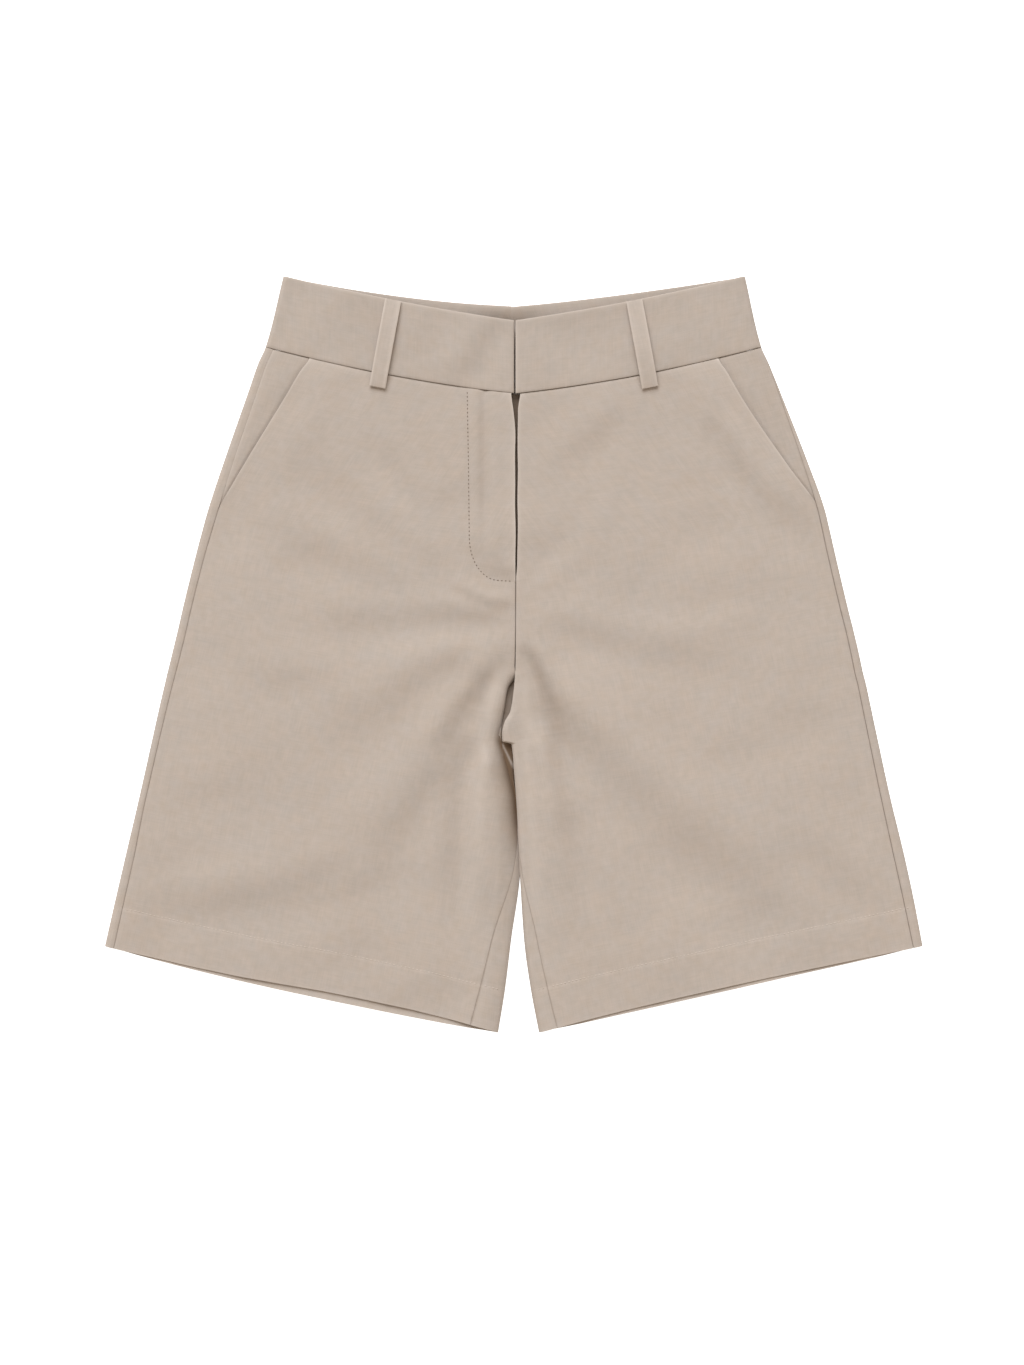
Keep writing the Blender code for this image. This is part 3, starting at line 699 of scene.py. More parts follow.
def cloth_finish(name, shade):
    """Plain weave: warp over weft as the product of two sines, uneven threads as stretched noise.

    Warm and cool, deep and pale dye lies in soft patches: each is a weighted sum of noises, less
    its mean. A painted highlight lifts the colour where the attribute "edge" is above 0, on
    folded edges and lit folds, and painted shade deepens it where it is below, in seams and
    hollows.
    """
    finish = Finish(name, CLOTH_ROUGH, sheen=CLOTH_SHEEN)
    grain = Value(finish, finish.add("UVMap", {"uv_map": "grain"}, {}).outputs[0])
    parts = finish.add("SeparateXYZ", {}, {0: grain})
    across, along = Value(finish, parts.outputs[0]), Value(finish, parts.outputs[1])
    turns = 2 * np.pi / THREAD_PITCH
    weave = (across * turns).sine() * (along * turns).sine()
    warp = finish.noise(grain, WARP, detail=1.0)
    weft = finish.noise(grain, WEFT, detail=1.0)
    clouds = finish.noise(grain, CLOUDS)
    mottle = finish.noise(grain, MOTTLE)
    threads = warp * 0.5 + weft * 0.5
    dye = clouds * 0.8 + mottle * 1.4 + threads * 0.9 - 1.05
    speckle = finish.noise(grain, SPECKLE)
    depth = speckle * 1.5 + threads * 2.2 - 1.35
    edge = finish.add("Attribute", {"attribute_name": "edge"}, {})
    painted_light = Value(finish, edge.outputs["Fac"])
    cool, warm, deep, pale, highlight_colour, painted_shade = (
        tuple(shade * c for c in colour[:3]) + (1,)
        for colour in (CLOTH_COOL, CLOTH_WARM, CLOTH_DEEP, CLOTH_PALE, CLOTH_PAINTED_HIGHLIGHT, CLOTH_PAINTED_SHADE))
    base = finish.blend(0.5, finish.blend(dye, cool, warm), finish.blend(depth, deep, pale))
    # painted highlight where the attribute is above 0, then painted shade where it is below
    lifted = finish.blend(painted_light * HIGHLIGHT_SHARE + weave * 0.03, base, highlight_colour)
    finish.put(finish.surface.inputs["Base Color"], finish.blend(painted_light * -1.0, lifted, painted_shade))
    finish.put(finish.surface.inputs["Roughness"], CLOTH_GLOSS[0] + threads * CLOTH_GLOSS[1])
    finish.bump(weave * 0.4 + threads * 0.9, THREAD_RELIEF, 0.55)
    return finish.material


PANEL_CLOTH = cloth_finish("panel_cloth", 1.0)


def new_piece(name, points, faces, finish):
    """An object of smooth faces between points that are in millimetres."""
    mesh = bpy.data.meshes.new(name)
    mesh.from_pydata((points.reshape(-1, 3) * MM).tolist(), [], faces)
    mesh.materials.append(finish)
    mesh.shade_smooth()
    piece = bpy.data.objects.new(name, mesh)
    bpy.context.scene.collection.objects.link(piece)
    return piece


def sheet_of_cloth(name, points, wall, turned, finish, down, edges, round_edge=0.35, share=None,
                   seams=FAR, shade=0.0):
    """A grid of points as one sheet: its wall goes inwards by Solidify, its rims are rounded.

    `edges` is each point's distance from an edge with a painted highlight, `seams` from a seam
    with painted shade, and `shade` is painted shade where it lies between others, or below 0 a
    painted highlight. The grain map holds metres along the cloth: across is the running length of
    each row, along is the distance down.
    """
    rows, columns = points.shape[:2]
    corner = np.arange(rows * columns).reshape(rows, columns)
    quads = np.stack((corner[:-1, :-1], corner[:-1, 1:], corner[1:, 1:], corner[1:, :-1]), axis=-1)
    quads = quads.reshape(-1, 4)
    quads = quads[:, ::-1] if turned else quads
    piece = new_piece(name, points, quads.tolist(), finish)
    run = np.linalg.norm(np.diff(points[..., :2], axis=1), axis=-1)
    across = np.concatenate((np.zeros((rows, 1)), np.cumsum(run, axis=1)), axis=1)
    along = np.broadcast_to(down, (rows, columns))
    grain = (np.stack((across, along), axis=-1).reshape(-1, 2) * MM)[quads.reshape(-1)]
    piece.data.uv_layers.new(name="grain").data.foreach_set("uv", grain.reshape(-1))
    # Painted highlight along edges; painted shade along seams and where `shade` is above 0.
    painted_light = np.exp(-np.broadcast_to(edges, (rows, columns)) / HIGHLIGHT_FADE)
    painted_light = np.maximum(painted_light, -np.minimum(shade, 0))
    painted_shade = np.maximum(np.broadcast_to(seams, (rows, columns)), 0)
    painted_shade = np.maximum(SEAM_SHADE_SHARE * np.exp(-painted_shade / SEAM_SHADE_FADE), shade)
    painted = piece.data.attributes.new("edge", "FLOAT", "POINT")
    painted.data.foreach_set("value", (painted_light * (1 - painted_shade) - painted_shade).reshape(-1))
    solid = piece.modifiers.new("wall", "SOLIDIFY")
    solid.thickness = wall * MM
    solid.offset = -1
    if share is not None:
        group = piece.vertex_groups.new(name="wall")
        values = np.broadcast_to(share, (rows, columns)).reshape(-1)
        for part in np.unique(values):
            group.add(np.flatnonzero(values == part).tolist(), float(part), "REPLACE")
        solid.vertex_group = "wall"
    rim = piece.modifiers.new("rim", "BEVEL")
    rim.width = round_edge * MM
    rim.segments = 2
    rim.limit_method = "ANGLE"
    rim.angle_limit = np.radians(RIM_ANGLE)
    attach(piece, "root")
    return piece


BAND_FOOT = BAND_DEPTH + SEAM   # where the panels start
PANEL_DOWN = lines(             # closer at the band, the pocket's end, the fork and the hem
    BAND_FOOT, HEM_DOWN, (BAND_FOOT + 1.5, 1.5, 0.5), (173, 22, 1.6), (280, 25, 1.5),
    (307, 2, 0.4), (320, 11, 1.5), (HEM_STITCH, 3, 0.5), (HEM_DOWN - 1.2, 1.2, 0.4))
CLOSE = 3.0             # the columns are closer this far in from a seam
BACK_LAP = 0.4          # the backs' centre seam leaves no gap between them
OPEN_CURL = 0.3         # from this curl on the inner edge is an inseam, and above it the centre's
INSEAM_END = 1.4
INSEAM_HIDES = 2.0      # an inseam that doesn't show counts as this much further away
FACING_SEAM = {"left": 0.3, "right": 0.0}       # the left one is sewn closer, and less painted seam shade shows along it
FACING_ENDS = (POCKET_END, 6)
HEM_HIGHLIGHT = 1.5          # the hem's rim gets the painted highlight of an open edge this far in
# Painted shade on the backs where they show in the gap at the fork:
FORK_SHADE_LINE = ((-2, -6), (-5, -38), (-7, -62), (-4, -92), (0, -125))
FORK_BREADTH = (5, 3)           # half of it, and how far it fades
FORK_SHADE = (0.5, 0.36)        # painted shade on the backs in it, and how much more below the nub
FORK_NUB = (-55, 15)
FORK_EDGE = ((-9.6, -67), (-5.2, -76), (-0.2, -87))     # along the backs' crotch seam the painted shade is lifted, a painted highlight
FORK_LIGHT = (0.75, 0.8)        # how much of it, and over what half width

for side in ("left", "right"):
    down = PANEL_DOWN
    start, inseam, curl = (at(column, side, down) for column in ("seam", "inseam", "curl"))
    over = strips(start, (start - CLOSE, 6, 1.3), (-QUARTER, 14))
    end = np.where(curl < OPEN_CURL, -BACK_LAP - inseam, inseam_gap(side, down) - inseam)
    _, widest = tail_bend("back", side, down)
    span = at("out", side, down) - side_sign(side) * at("back", side, down)
    bend_end = np.maximum(end + INSEAM_END, -QUARTER)
    inner = strips(span - FOLD - widest + QUARTER, (QUARTER, 70), (bend_end, 16), (end, 8, 0.8))
    inner = inner[:, 1:]
    points = np.concatenate((outer_part(side, down, over, FOLDS[side]),
                             inner_part(side, down, inner, "back", FOLDS[side])), axis=1)
    from_seam = np.concatenate((start - over, FAR + 0 * inner), axis=1)
    from_inseam = np.concatenate((FAR + 0 * over, inner - end), axis=1)
    beside_facing = SEAM_DIP - SEAM_SHALLOWER * (1 - past(down, FACING_ENDS))
    points[..., 2] -= drawn_in(from_seam, down, 1, beside_facing)
    points[..., 2] -= drawn_in(from_inseam, down, 2, INSEAM_DIP[side]) * curl
    on_top = np.concatenate((over > QUARTER, inner < -QUARTER), axis=1)
    points[..., 2] += hem_form(down) * on_top
    points = pressed(side, down, points)
    points[..., 2] = np.maximum(points[..., 2], 0)
    # Painted shade along the seams and in the fork, and a painted highlight along the hem's rim.
    seams = np.minimum(from_seam + FACING_SEAM[side] * (down < POCKET_END),
                       from_inseam + INSEAM_HIDES * (1 - inseam_shown(side, down)))
    off_fork, off_edge = (distance_to(line, points[..., 0], points[..., 1])[0]
                          for line in (FORK_SHADE_LINE, FORK_EDGE))
    depth = FORK_SHADE[0] + FORK_SHADE[1] * ease((FORK_NUB[0] - points[..., 1]) / FORK_NUB[1])
    depth = depth * (1 - ease((np.abs(off_fork) - FORK_BREADTH[0]) / FORK_BREADTH[1]))
    depth = depth * (1 - FORK_LIGHT[0] * bell(off_edge, FORK_LIGHT[1]))
    edges = HEM_DOWN - down + HEM_HIGHLIGHT
    back = sheet_of_cloth(f"{side}_back_panel", points, HEM_WALL, side == "right", PANEL_CLOTH,
                          down, edges, share=hem_share(down), seams=seams, shade=depth)
    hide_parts(f"back_{side}_seat", f"back_{side}_leg")


# ---------------------------------------------------------------- front panels
# Two pieces of cloth on top, cut away along the slanted pocket mouths. They meet at the centre
# front, where the left one laps over as the fly, and roll under along the inside of each leg.

POCKET_UNDER = 18.0
POCKET_FADE = 30.0
POCKET_CLOSE = 50.0     # over this length the mouth's edge comes down to the seam
POCKET_LIFT = 1.7
POCKET_EDGE = 2.0
POCKET_RIM = (0.4, 2.5)         # the mouth's turned edge stands up: height and breadth
MOUTH_OPENS = 3.0
BAND_PRESS = 7.0        # how far below the band's seam its flatness reaches
BAND_HOLD = 0.8         # share of the forms at a pocket's mouth that it presses flat
FORK_OPENS = 255.0
FORK_DRAWN = 6.4        # where the centre's edge turns into the inseam it draws back
TUCKED = 8.0            # the left front's edge runs on under the right one at the fork
TUCKED_FROM = (252, 14)
TUCKED_TO = (296, 22)
EDGE_BREADTH = 32.0     # the columns are closer this far in from the inner edge
ELSEWHERE = 9.0         # added to the distance from an edge where it doesn't count
LEAST_HEIGHT = 1.0
UNDER_SHADE = 0.88      # painted shade on the left leg's inner edge, beside the right one
UNDER_FROM = (290, 18)
UNDER_TO = (350, 60)
UNDER_EDGES = {"right": 1.0, "left": 0.5}       # it is deepest this far past the legs' edges
UNDER_REACH = 3.5
UNDER_WIDENS = (310, 20)        # from here on its reach is double
UNDER_POWER = 1.3
LIT_FOLD = 0.6         # painted highlight on the fold along the right leg's inside
LIT_FOLD_FROM = (305, 8)
LIT_FOLD_TO = (380, 40)
LIT_FOLD_MIDDLE = 0.4
LIT_FOLD_HALF = 0.5
FLY_DOWN = BAND_DEPTH + 132.0   # where the fly's opening ends
FLY_PAST = 40.0
FLY_DIP = 0.3           # share of the seam's dip along the fly
FLY_WAVER = 0.3
FLY_WAVER_LENGTH = 3
FLY_SEED = {"left": 5, "right": 9}
FLY_LAP = 0.9           # the left front's edge stands over the right one
FLY_LAP_REACH = 9.0
FLY_LAP_FOOT = 12.0
FLY_STITCH_X = (-35.3, -33.7)   # the fly's sewing at its top and where it starts to turn
FLY_TOP = 200.0
FLY_BEND = 135.0
FLY_FOOT = 55.4
FLY_END = 54.7
FLY_ROUND = (22.5, 33.0)
FLY_RISE = (1.1, 12)            # the doubled cloth inside the sewing: height and length
FLY_GROOVE = (0.25, 0.9)        # the sewing itself: depth and half width
FLY_FACING = (2.2, -22.0, 4.5)  # the edge of the fly's facing is felt: depth, place, half width
FLY_FACING_ENDS = (59.4, 60)
CENTRE_X = 1.2

FLY_LINE = [(FLY_STITCH_X[0], FLY_TOP), ((FLY_STITCH_X[0] + 2 * FLY_STITCH_X[1]) / 3, FLY_BEND)]
FLY_LINE += [(FLY_STITCH_X[1] + FLY_ROUND[0] * (1 - np.cos(a)),
              FLY_FOOT + FLY_ROUND[1] * (1 - np.sin(a))) for a in np.linspace(0, np.pi / 2, 15)]
FLY_LINE += [(CENTRE_X, FLY_END)]


def front_start(side, down):
    """The front's outer edge: the pocket's mouth, or the side seam below it."""
    return np.maximum(at("mouth", side, down), at("seam", side, down) + SEAM)


def at_band(down):
    """1 along the band's seam, where all the layers are sewn flat, dying away below it."""
    return np.exp(-(down - BAND_FOOT) / BAND_PRESS)


def pocket_lift(side, down, path):
    """How far the front stands over the pocket's facing, and past it until it is down again."""
    past_edge = (path - at("mouth", side, down) - POCKET_UNDER - POCKET_EDGE) / POCKET_FADE
    lift = POCKET_LIFT * (1 - ease(past_edge))
    lift = lift * (1 - past(down, (POCKET_END - POCKET_CLOSE, POCKET_CLOSE)))
    return lift * (1 - BAND_HOLD * at_band(down))


def other_end(side, down, path):
    """A path length along the front, measured from its other edge: outer to inner or back."""
    span = at("out", side, down) - side_sign(side) * at("in", side, down)
    _, widest = tail_bend("front", side, down)
    return span - FOLD - widest - path + 2 * QUARTER


FRONT_POINTS = {}
for side in ("left", "right"):
    down = PANEL_DOWN
    below_band = down - BAND_FOOT
    start, seam, mouth = front_start(side, down), at("seam", side, down), at("mouth", side, down)
    near = strips(start, (start + CLOSE, 6, 1.4))
    curl = at("curl", side, down)
    end = at("inseam", side, down) + SEAM / 2 + (inseam_gap(side, down) - SEAM / 2) * curl
    end = end + FORK_DRAWN * curl * (1 - curl)
    waver = ripple(down / FLY_WAVER_LENGTH, FLY_SEED[side])
    end = end + FLY_WAVER * waver * (down < FLY_DOWN)
    if side == "left":
        end = end - TUCKED * past(down, TUCKED_FROM) * (1 - past(down, TUCKED_TO))
    tail = np.maximum(QUARTER, end + CLOSE)
    inner = strips(other_end(side, down, near[:, -1:]), (tail + EDGE_BREADTH, 84), (tail, 24),
                   (end, 14, 0.75))[:, 1:]
    path = np.concatenate((near, other_end(side, down, inner)), axis=1)
    points = np.concatenate((outer_part(side, down, near, FOLDS[side]),
                             inner_part(side, down, inner, "front", FOLDS[side])), axis=1)
    from_start = path - start
    from_end = np.concatenate((FAR + 0 * near, inner - end), axis=1)
    x, y = points[..., 0], points[..., 1]
    points[..., 2] += pocket_lift(side, down, path) + hem_form(down)
    open_edge = ease((mouth - seam - SEAM) / MOUTH_OPENS)
    points[..., 2] -= drawn_in(from_start, down, 3) * (1 - open_edge)
    points[..., 2] += POCKET_RIM[0] * bell(from_start, POCKET_RIM[1]) * open_edge
    in_fly = (y > FLY_FOOT) & (down < FLY_DOWN + FLY_PAST)
    dip = drawn_in(from_end, down, 4, np.where(curl > OPEN_CURL, INSEAM_DIP[side], SEAM_DIP))
    points[..., 2] -= dip * np.where(in_fly, FLY_DIP, 1.0)
    points[..., 2] -= SEAM_DIP * np.exp(-below_band / SEAM_DIP_REACH)
    if side == "left":
        outside, _ = distance_to(FLY_LINE, x, y)
        depth, place, half = FLY_FACING
        trough = depth * bell(x - place, half)
        trough = trough * ease((y - FLY_FACING_ENDS[0]) / FLY_FACING_ENDS[1])
        groove = FLY_GROOVE[0] * bell(outside, FLY_GROOVE[1])
        points[..., 2] += FLY_RISE[0] * ease(-outside / FLY_RISE[1]) - groove - trough
        lap = FLY_LAP * (1 - ease(from_end / FLY_LAP_REACH))
        points[..., 2] += lap * ease((y - FLY_FOOT) / FLY_LAP_FOOT)
    points = pressed(side, down, points)
    points[..., 2] = np.maximum(points[..., 2], LEAST_HEIGHT)
    free_end = (curl < OPEN_CURL) & ((y > FLY_FOOT) | (down > FORK_OPENS))
    # Painted highlight along the pocket's mouth, the hem and the fly's free edge; painted shade
    # along the seams.
    edges = np.minimum(from_start + ELSEWHERE * (1 - open_edge), HEM_DOWN - down + HEM_HIGHLIGHT)
    edges = np.minimum(edges, from_end + ELSEWHERE * (1 - free_end))
    hidden = ELSEWHERE * free_end + INSEAM_HIDES * (1 - inseam_shown(side, down))
    seams = np.minimum(from_start + ELSEWHERE * open_edge, from_end + hidden)
    seams = np.minimum(seams, below_band)
    # Painted shade in hollows and under the right leg's edge, and painted highlight on lit folds.
    depth = ridged(PAINTED_HOLLOWS[side], x, y)
    if side == "left":
        deepest = np.minimum(*(at("in", leg, down) - by for leg, by in UNDER_EDGES.items()))
        under = np.maximum(deepest - points[..., 0], 0)
        reach = UNDER_REACH * (1 + past(down, UNDER_WIDENS))
        in_shade = UNDER_SHADE * past(down, UNDER_FROM) * (1 - past(down, UNDER_TO))
        in_shade = in_shade * np.exp(-(under / reach) ** UNDER_POWER)
        depth = depth * (1 - in_shade) + in_shade
    else:
        lit_fold = LIT_FOLD * past(down, LIT_FOLD_FROM) * (1 - past(down, LIT_FOLD_TO))
        from_fold = points[..., 0] - at("in", "right", down)
        depth = depth - lit_fold * bell(from_fold - LIT_FOLD_MIDDLE, LIT_FOLD_HALF)
    FRONT_POINTS[side] = points
    front = sheet_of_cloth(f"{side}_front_panel", points, HEM_WALL, side == "left", PANEL_CLOTH,
                           down, edges, share=hem_share(down), seams=seams, shade=depth)
    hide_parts(f"front_{side}")


# ---------------------------------------------------------------- pocket facings
# The side pieces behind the slanted mouths: the same cloth, one layer, sewn into the band and
# the side seam and reaching under the front panel.

FACING_LEAST = 1.0
FACING_LIFT = 0.1
FACING_DIP = 1.2        # the facing sinks this much behind the pocket's mouth
FACING_DIPS = ((0.65, 1.5), (0.35, 6))          # shares of that, and how far they reach
FACING_TUCK = (0.78, 0.5, 2.5)  # at the band it sinks under the mouth's edge: depth, from, over
# the left facing's side edge has a painted highlight from this far in
FACING_HIGHLIGHT = 0.4
# a copy of the cloth, 3 % darker: painted shade on the pieces that lie under the front
UNDER_CLOTH = cloth_finish("under_cloth", 0.97)

for side in ("left", "right"):
    down = PANEL_DOWN[PANEL_DOWN[:, 0] < POCKET_END]
    edge = at("seam", side, down) + SEAM / 2
    start = np.maximum(front_start(side, down), edge + FACING_LEAST)
    path = strips(edge, (start, 18, 1.6), (start + POCKET_UNDER, 8))
    points = outer_part(side, down, path, FOLDS[side])
    at_side, below_band = path - edge, down - BAND_FOOT
    points[..., 2] -= drawn_in(at_side, down, 5, SEAM_DIP - SEAM_SHALLOWER) - FACING_LIFT
    from_mouth = np.maximum(start - path, 0)
    dip = sum(share * bell(from_mouth, half) for share, half in FACING_DIPS)
    points[..., 2] -= FACING_DIP * dip * (1 - BAND_HOLD * at_band(down))
    points[..., 2] -= SEAM_DIP * np.exp(-below_band / SEAM_DIP_REACH)
    depth, place, length = FACING_TUCK
    points[..., 2] -= depth * ease((path - start + place) / length) * at_band(down)
    seams = np.minimum(below_band, at_side + ELSEWHERE * (side == "left"))
    edges = at_side + FACING_HIGHLIGHT + ELSEWHERE * (side == "right")
    facing = sheet_of_cloth(f"{side}_pocket_facing", points, WALL, side == "left", UNDER_CLOTH,
                            down, edges, seams=seams)
    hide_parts(f"pocket_facing_{side}")


# ---------------------------------------------------------------- fly shield
# A strip of doubled cloth behind the fly, sewn to the right front, seen where the fly gapes.

SHIELD_REACH = (36.0, 10.0)     # to both sides of the fly's edge
SHIELD_END = BAND_DEPTH + 138.0
SHIELD_ROUND = 16.0             # its foot is rounded over this length
SHIELD_NARROW = 14.4            # and by this much
SHIELD_BELOW = 6.0
# painted shade: the underlap is coloured dark, as it lies deep in the fly's gap
SHIELD_SHADE = 0.68

down = lines(BAND_FOOT, SHIELD_END, (SHIELD_END - 4, 4, 1))
edge = at("out", "left", down) + at("in", "left", down)
dip = np.clip(1 - (SHIELD_END - down) / SHIELD_ROUND, 0, 1)
narrow = SHIELD_NARROW * (1 - np.sqrt(1 - dip ** 2))
reach = strips(edge - SHIELD_REACH[0] + narrow, (edge + SHIELD_REACH[1], 20))
points = outer_part("left", down, reach - FOLD + QUARTER, FOLDS["left"])
points[..., 2] -= SHIELD_BELOW
shield = sheet_of_cloth("fly_underlap", points, WALL, True, UNDER_CLOTH, down, FAR,
                        shade=SHIELD_SHADE)
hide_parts("fly_shield")


# ---------------------------------------------------------------- waistband
# A straight band folded double along its top edge, in two halves: each runs from the fly out
# over the front, round the side and back beneath to the centre back, where they are sewn.

BAND_WALL = 2.0
BAND_STANDS = 0.7       # the doubled band stands over the panels that are sewn into it
BAND_TOP = (0.3, 5)             # and its folded top edge over the rest: height and breadth
BAND_ROUND = 0.7
BAND_MEET = 0.8
BAND_GAP = 0.6
# the right half's end at the fly has a painted highlight from this far in, as has the top edge
BAND_HIGHLIGHT = 0.2
BAND_SHADE = (0.3, 0.9)         # painted shade of the right half's end on the left one: depth and reach
BACK_SEAM_X = -2.0
BACK_SEAM = -0.35       # below 0 the halves overlap at the centre back
BAND_LIFT = 4.2         # at the centre the back's top edge stands up off the table
BAND_LIFT_X = (-6.0, 26.0)
BAND_LIFT_DEPTH = 15.0
BAND_FOLDS = {
    "by the fly":    (1.3, 9, 12, (-6, 262), (-20, 244), (-32, 222), (-46, 196)),
    "left middle":   (0.35, 9, 11, (-58, 270), (-70, 240), (-82, 206)),
    "left side":     (0.35, 9, 12, (-124, 276), (-144, 246), (-158, 216)),
    "right of fly":  (-0.4, 9, 11, (12, 254), (32, 232), (52, 204)),
    "right middle":  (0.3, 10, 12, (58, 266), (72, 236), (84, 206)),
    "right side":    (0.35, 10, 12, (120, 276), (140, 246), (152, 214)),
}
# a copy of the cloth, 1.5 % darker: painted shade
BAND_CLOTH = cloth_finish("waistband_cloth", 0.985)

for side in ("left", "right"):
    sign = side_sign(side)
    down = lines(0, BAND_DEPTH, (1.2, 1.2, 0.4), (BAND_DEPTH - 1.5, 1.5, 0.5))
    out = at("out", side, down)
    front_end = out - sign * (BAND_MEET + sign * BAND_GAP) - FOLD + QUARTER
    back_end = out - sign * (BACK_SEAM_X + sign * BACK_SEAM) - FOLD + QUARTER
    path = strips(front_end, (front_end - CLOSE, 6, 1.4), (QUARTER, 66), (-QUARTER, 20),
                  (-back_end, 62))
    points = outer_part(side, down, path, BAND_FOLDS)
    on_top = ease(path / QUARTER)
    points[..., 2] -= on_top * SEAM_DIP * np.exp(-(BAND_DEPTH - down) / SEAM_DIP_REACH)
    points[..., 2] += on_top * (BAND_STANDS + BAND_TOP[0] * bell(down, BAND_TOP[1]))
    lift = BAND_LIFT * bell(points[..., 0] - BAND_LIFT_X[0], BAND_LIFT_X[1])
    points[..., 2] += (1 - on_top) * lift * (1 - ease(down / BAND_LIFT_DEPTH))
    # Painted highlight on the top edge and at the fly, painted shade along the seam and beside the
    # fly.
    from_fly = np.abs(front_end - path)
    edges = np.minimum(down, from_fly + BAND_HIGHLIGHT + ELSEWHERE * (side == "left"))
    depth = BAND_SHADE[0] * np.exp(-from_fly / BAND_SHADE[1]) * (side == "left")
    band = sheet_of_cloth(f"{side}_waistband", points, BAND_WALL, side == "right", BAND_CLOTH, down,
                          edges, round_edge=BAND_ROUND, seams=BAND_DEPTH - down, shade=depth)
    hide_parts(f"waistband_{side}")


# ---------------------------------------------------------------- belt loops
# Strips folded in three with edge sewing, turned in at both ends and sewn down above the band
# and just below its seam, so they stand a little off the band between.

LOOP_WIDTH = 12.4
LOOP_COLUMNS = 25
LOOP_WALL = 1.4
LOOP_ARCH = 2.5
LOOP_ARCH_POWER = 0.7
LOOP_END = BAND_DEPTH + 10.6
LOOP_X = (91.3, 103.4)          # the middle of a loop at its top and its foot
LOOP_EDGE = (0.35, 1.3, 1.0)    # the ridge along its sewn edges: height, place, half width
LOOP_SEWN = (-0.3, 6.5, 1.2)    # where it's sewn down across its top
LOOP_ROUND = 0.5
# a copy of the cloth, 3 % lighter: painted highlight on the loops that stand up
LOOP_CLOTH = cloth_finish("lit_belt_loop_cloth", 1.03)

for side in ("left", "right"):
    down = lines(0, LOOP_END, (1, 1, 0.35), (LOOP_END - 1, 1, 0.35))
    along = down / LOOP_END
    middle = at("out", side, down) - LOOP_X[0] - (LOOP_X[1] - LOOP_X[0]) * along
    across = np.linspace(-0.5, 0.5, LOOP_COLUMNS)[None, :]
    reach = middle + LOOP_WIDTH * across
    points = outer_part(side, down, reach - FOLD + QUARTER, {})
    from_edge = LOOP_WIDTH * (0.5 - np.abs(across))
    points[..., 2] += BAND_STANDS + SEAM + LOOP_WALL
    points[..., 2] += LOOP_ARCH * np.sin(np.pi * along) ** LOOP_ARCH_POWER
    for distance, (height, place, half) in ((from_edge, LOOP_EDGE), (down, LOOP_SEWN)):
        points[..., 2] += height * bell(distance - place, half)
    # painted highlight along both long edges
    loop = sheet_of_cloth(f"{side}_belt_loop", points, LOOP_WALL, side == "left", LOOP_CLOTH,
                          down, from_edge + 0 * down, round_edge=LOOP_ROUND)
    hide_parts(f"belt_loop_{side}")


# ---------------------------------------------------------------- sewing
# Matching thread: the fly's J-shaped line, and a line round each hem.

STITCH = 1.5
STITCH_PITCH = 3.0
STITCH_OFF = {"centre": 0.8, "front": 1.5, "inside": 1.0, "outside": 0.8}   # from the seams
FLY_POINTS = 160
HEM_POINTS = (130, 14, 6)       # on the front, and on the back inside and outside
THREAD_OVER = 0.02
THREAD = 0.42
THREAD_SIDES = 6
STITCH_RINGS = (-1, -0.92, -0.6, 0, 0.6, 0.92, 1)
STITCH_TIP = 0.02               # least of 1 - s^2, so that no ring closes to a point
FLY_THREAD = (0.19, 0.145, 0.11, 1)
HEM_THREAD = (0.56, 0.485, 0.415, 1)
THREAD_TONES = (500, 500, 500)
THREAD_FIBRES = (2600, 2600, 2600)
THREAD_LIGHTER = 1.15
THREAD_ROUGH = 0.7
THREAD_SHEEN = 0.1
FIBRE_RELIEF = 0.00005


def thread_finish(name, colour):
    """Spun thread: its tone and surface vary over a fibre's width."""
    finish = Finish(name, THREAD_ROUGH, sheen=THREAD_SHEEN)
    where = Value(finish, finish.add("TexCoord", {}, {}).outputs["Object"])
    tone = finish.noise(where, THREAD_TONES)
    light = tuple(THREAD_LIGHTER * c for c in colour[:3]) + (1,)
    finish.put(finish.surface.inputs["Base Color"], finish.blend(tone, colour, light))
    finish.bump(finish.noise(where, THREAD_FIBRES), FIBRE_RELIEF, 0.5)
    return finish.material


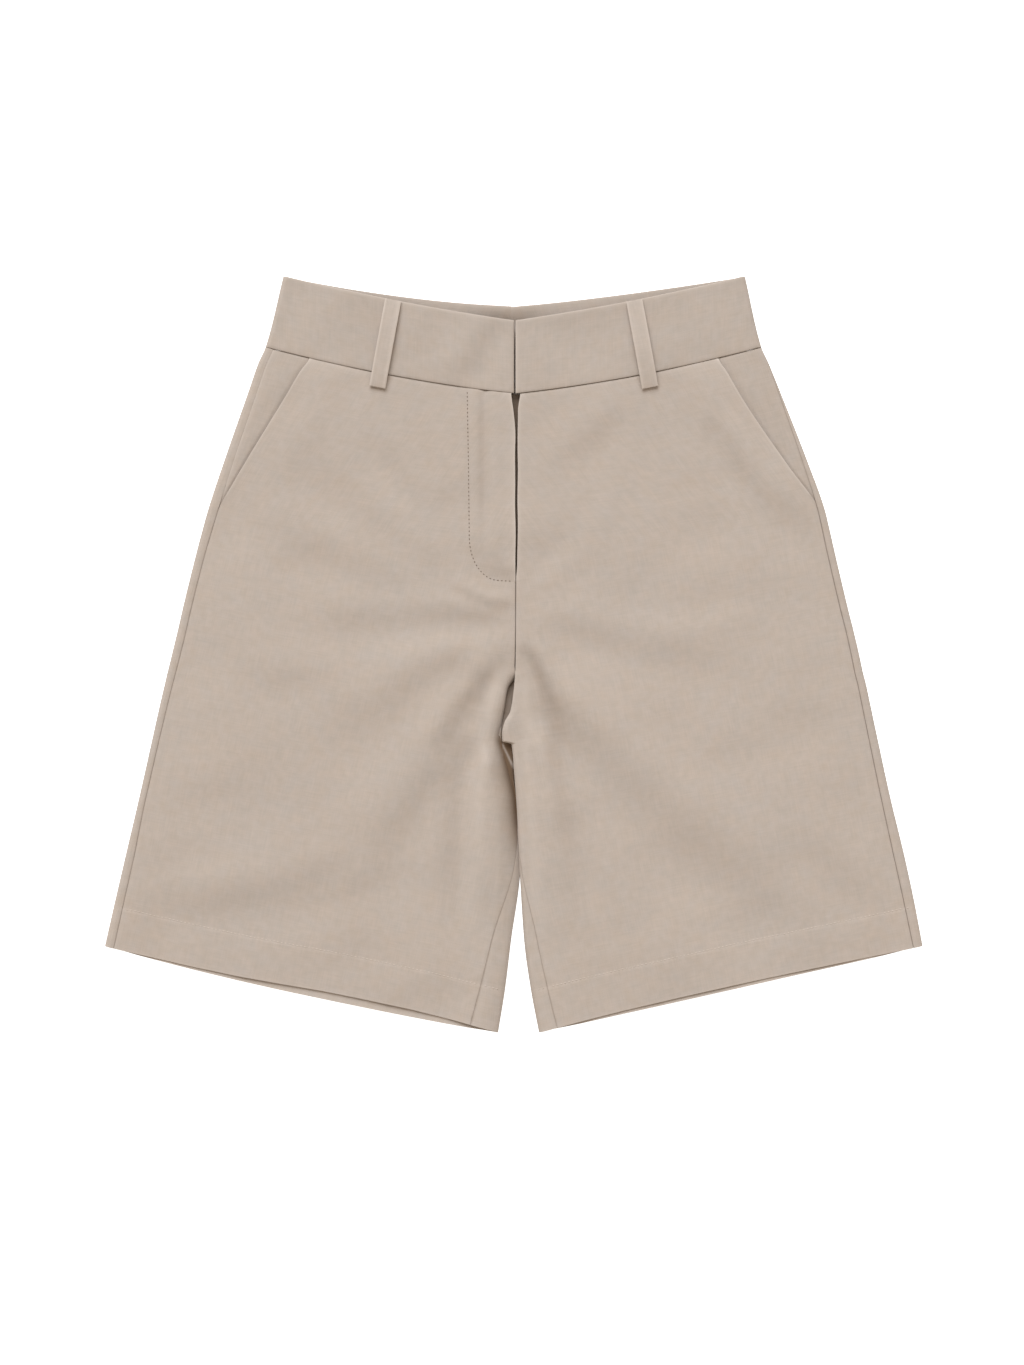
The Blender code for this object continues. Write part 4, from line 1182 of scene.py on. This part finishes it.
def stitches(name, routes, finish):
    """Each stitch is a capsule: rings of THREAD times the root of 1 - s^2 along its length."""
    starts, ways = [], []
    for route in routes:
        run = np.concatenate(([0], np.cumsum(np.linalg.norm(np.diff(route, axis=0), axis=1))))
        places = np.arange(STITCH_PITCH / 2, run[-1] - STITCH, STITCH_PITCH)
        starts.append(read_along(route, run, places))
        ways.append(read_along(route, run, places + STITCH) - starts[-1])
    starts, ways = np.concatenate(starts), np.concatenate(ways)
    length = np.linalg.norm(ways, axis=1, keepdims=True)
    ahead = ways / length
    side_way = np.cross(ahead, (0, 0, 1.0))
    side_way /= np.linalg.norm(side_way, axis=1, keepdims=True)
    up = np.cross(side_way, ahead)
    s = np.array(STITCH_RINGS)
    around = np.linspace(0, 2 * np.pi, THREAD_SIDES + 1)[:-1]
    radius = THREAD * np.sqrt(np.maximum(1 - s ** 2, STITCH_TIP))
    middle = starts[:, None, :] + ways[:, None, :] * ((s + 1) / 2)[None, :, None]
    ring = (side_way[:, None, None, :] * np.cos(around)[None, None, :, None]
            + up[:, None, None, :] * np.sin(around)[None, None, :, None])
    points = middle[:, :, None, :] + ring * radius[None, :, None, None]
    count, rings, sides = points.shape[:3]
    index = np.arange(count * rings * sides).reshape(count, rings, sides)
    beside = np.roll(index, -1, axis=2)
    quads = np.stack((index[:, 1:], beside[:, 1:], beside[:, :-1], index[:, :-1]), axis=-1)
    faces = quads.reshape(-1, 4).tolist() + index[:, 0].tolist() + index[:, -1, ::-1].tolist()
    piece = new_piece(name, points, faces, finish)
    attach(piece, "root")


def on_cloth(points, x, y):
    """Places on a panel: at each one the height is that of the panel's nearest grid point."""
    grid = points.reshape(-1, 3)
    nearest = [np.argmin((grid[:, 0] - a) ** 2 + (grid[:, 1] - b) ** 2) for a, b in zip(x, y)]
    return np.stack((x, y, grid[nearest, 2]), axis=-1)


fly_run = read_along(np.array(FLY_LINE), np.linspace(0, 1, len(FLY_LINE)),
                     np.linspace(0, 1, FLY_POINTS))
fly_run = fly_run[fly_run[:, 0] < CENTRE_X - STITCH_OFF["centre"]]
stitches("fly_stitching", [on_cloth(FRONT_POINTS["left"], fly_run[:, 0], fly_run[:, 1])],
         thread_finish("fly_thread", FLY_THREAD))

hem_finish = thread_finish("hem_thread", HEM_THREAD)

for side in ("left", "right"):
    down = np.array([[HEM_STITCH]])
    seam, inseam = at("seam", side, down).item(), at("inseam", side, down).item()
    start, end = other_end(side, down, front_start(side, down)).item(), inseam + SEAM
    ends = ((start - STITCH_OFF["front"], end + STITCH_OFF["front"]),
            (-QUARTER, STITCH_OFF["inside"] - inseam), (QUARTER, seam - STITCH_OFF["outside"]))
    on_front, inside, outside = (np.linspace(*pair, count)[None, :]
                                 for pair, count in zip(ends, HEM_POINTS))
    routes = (inner_part(side, down, on_front, "front", FOLDS[side]),
              inner_part(side, down, inside, "back", FOLDS[side]),
              outer_part(side, down, outside, FOLDS[side]))
    routes = [pressed(side, HEM_STITCH, route[0]) for route in routes]
    for route in routes:
        route[:, 2] += hem_form(HEM_STITCH) + THREAD_OVER
    stitches(f"{side}_hem_stitching", routes, hem_finish)
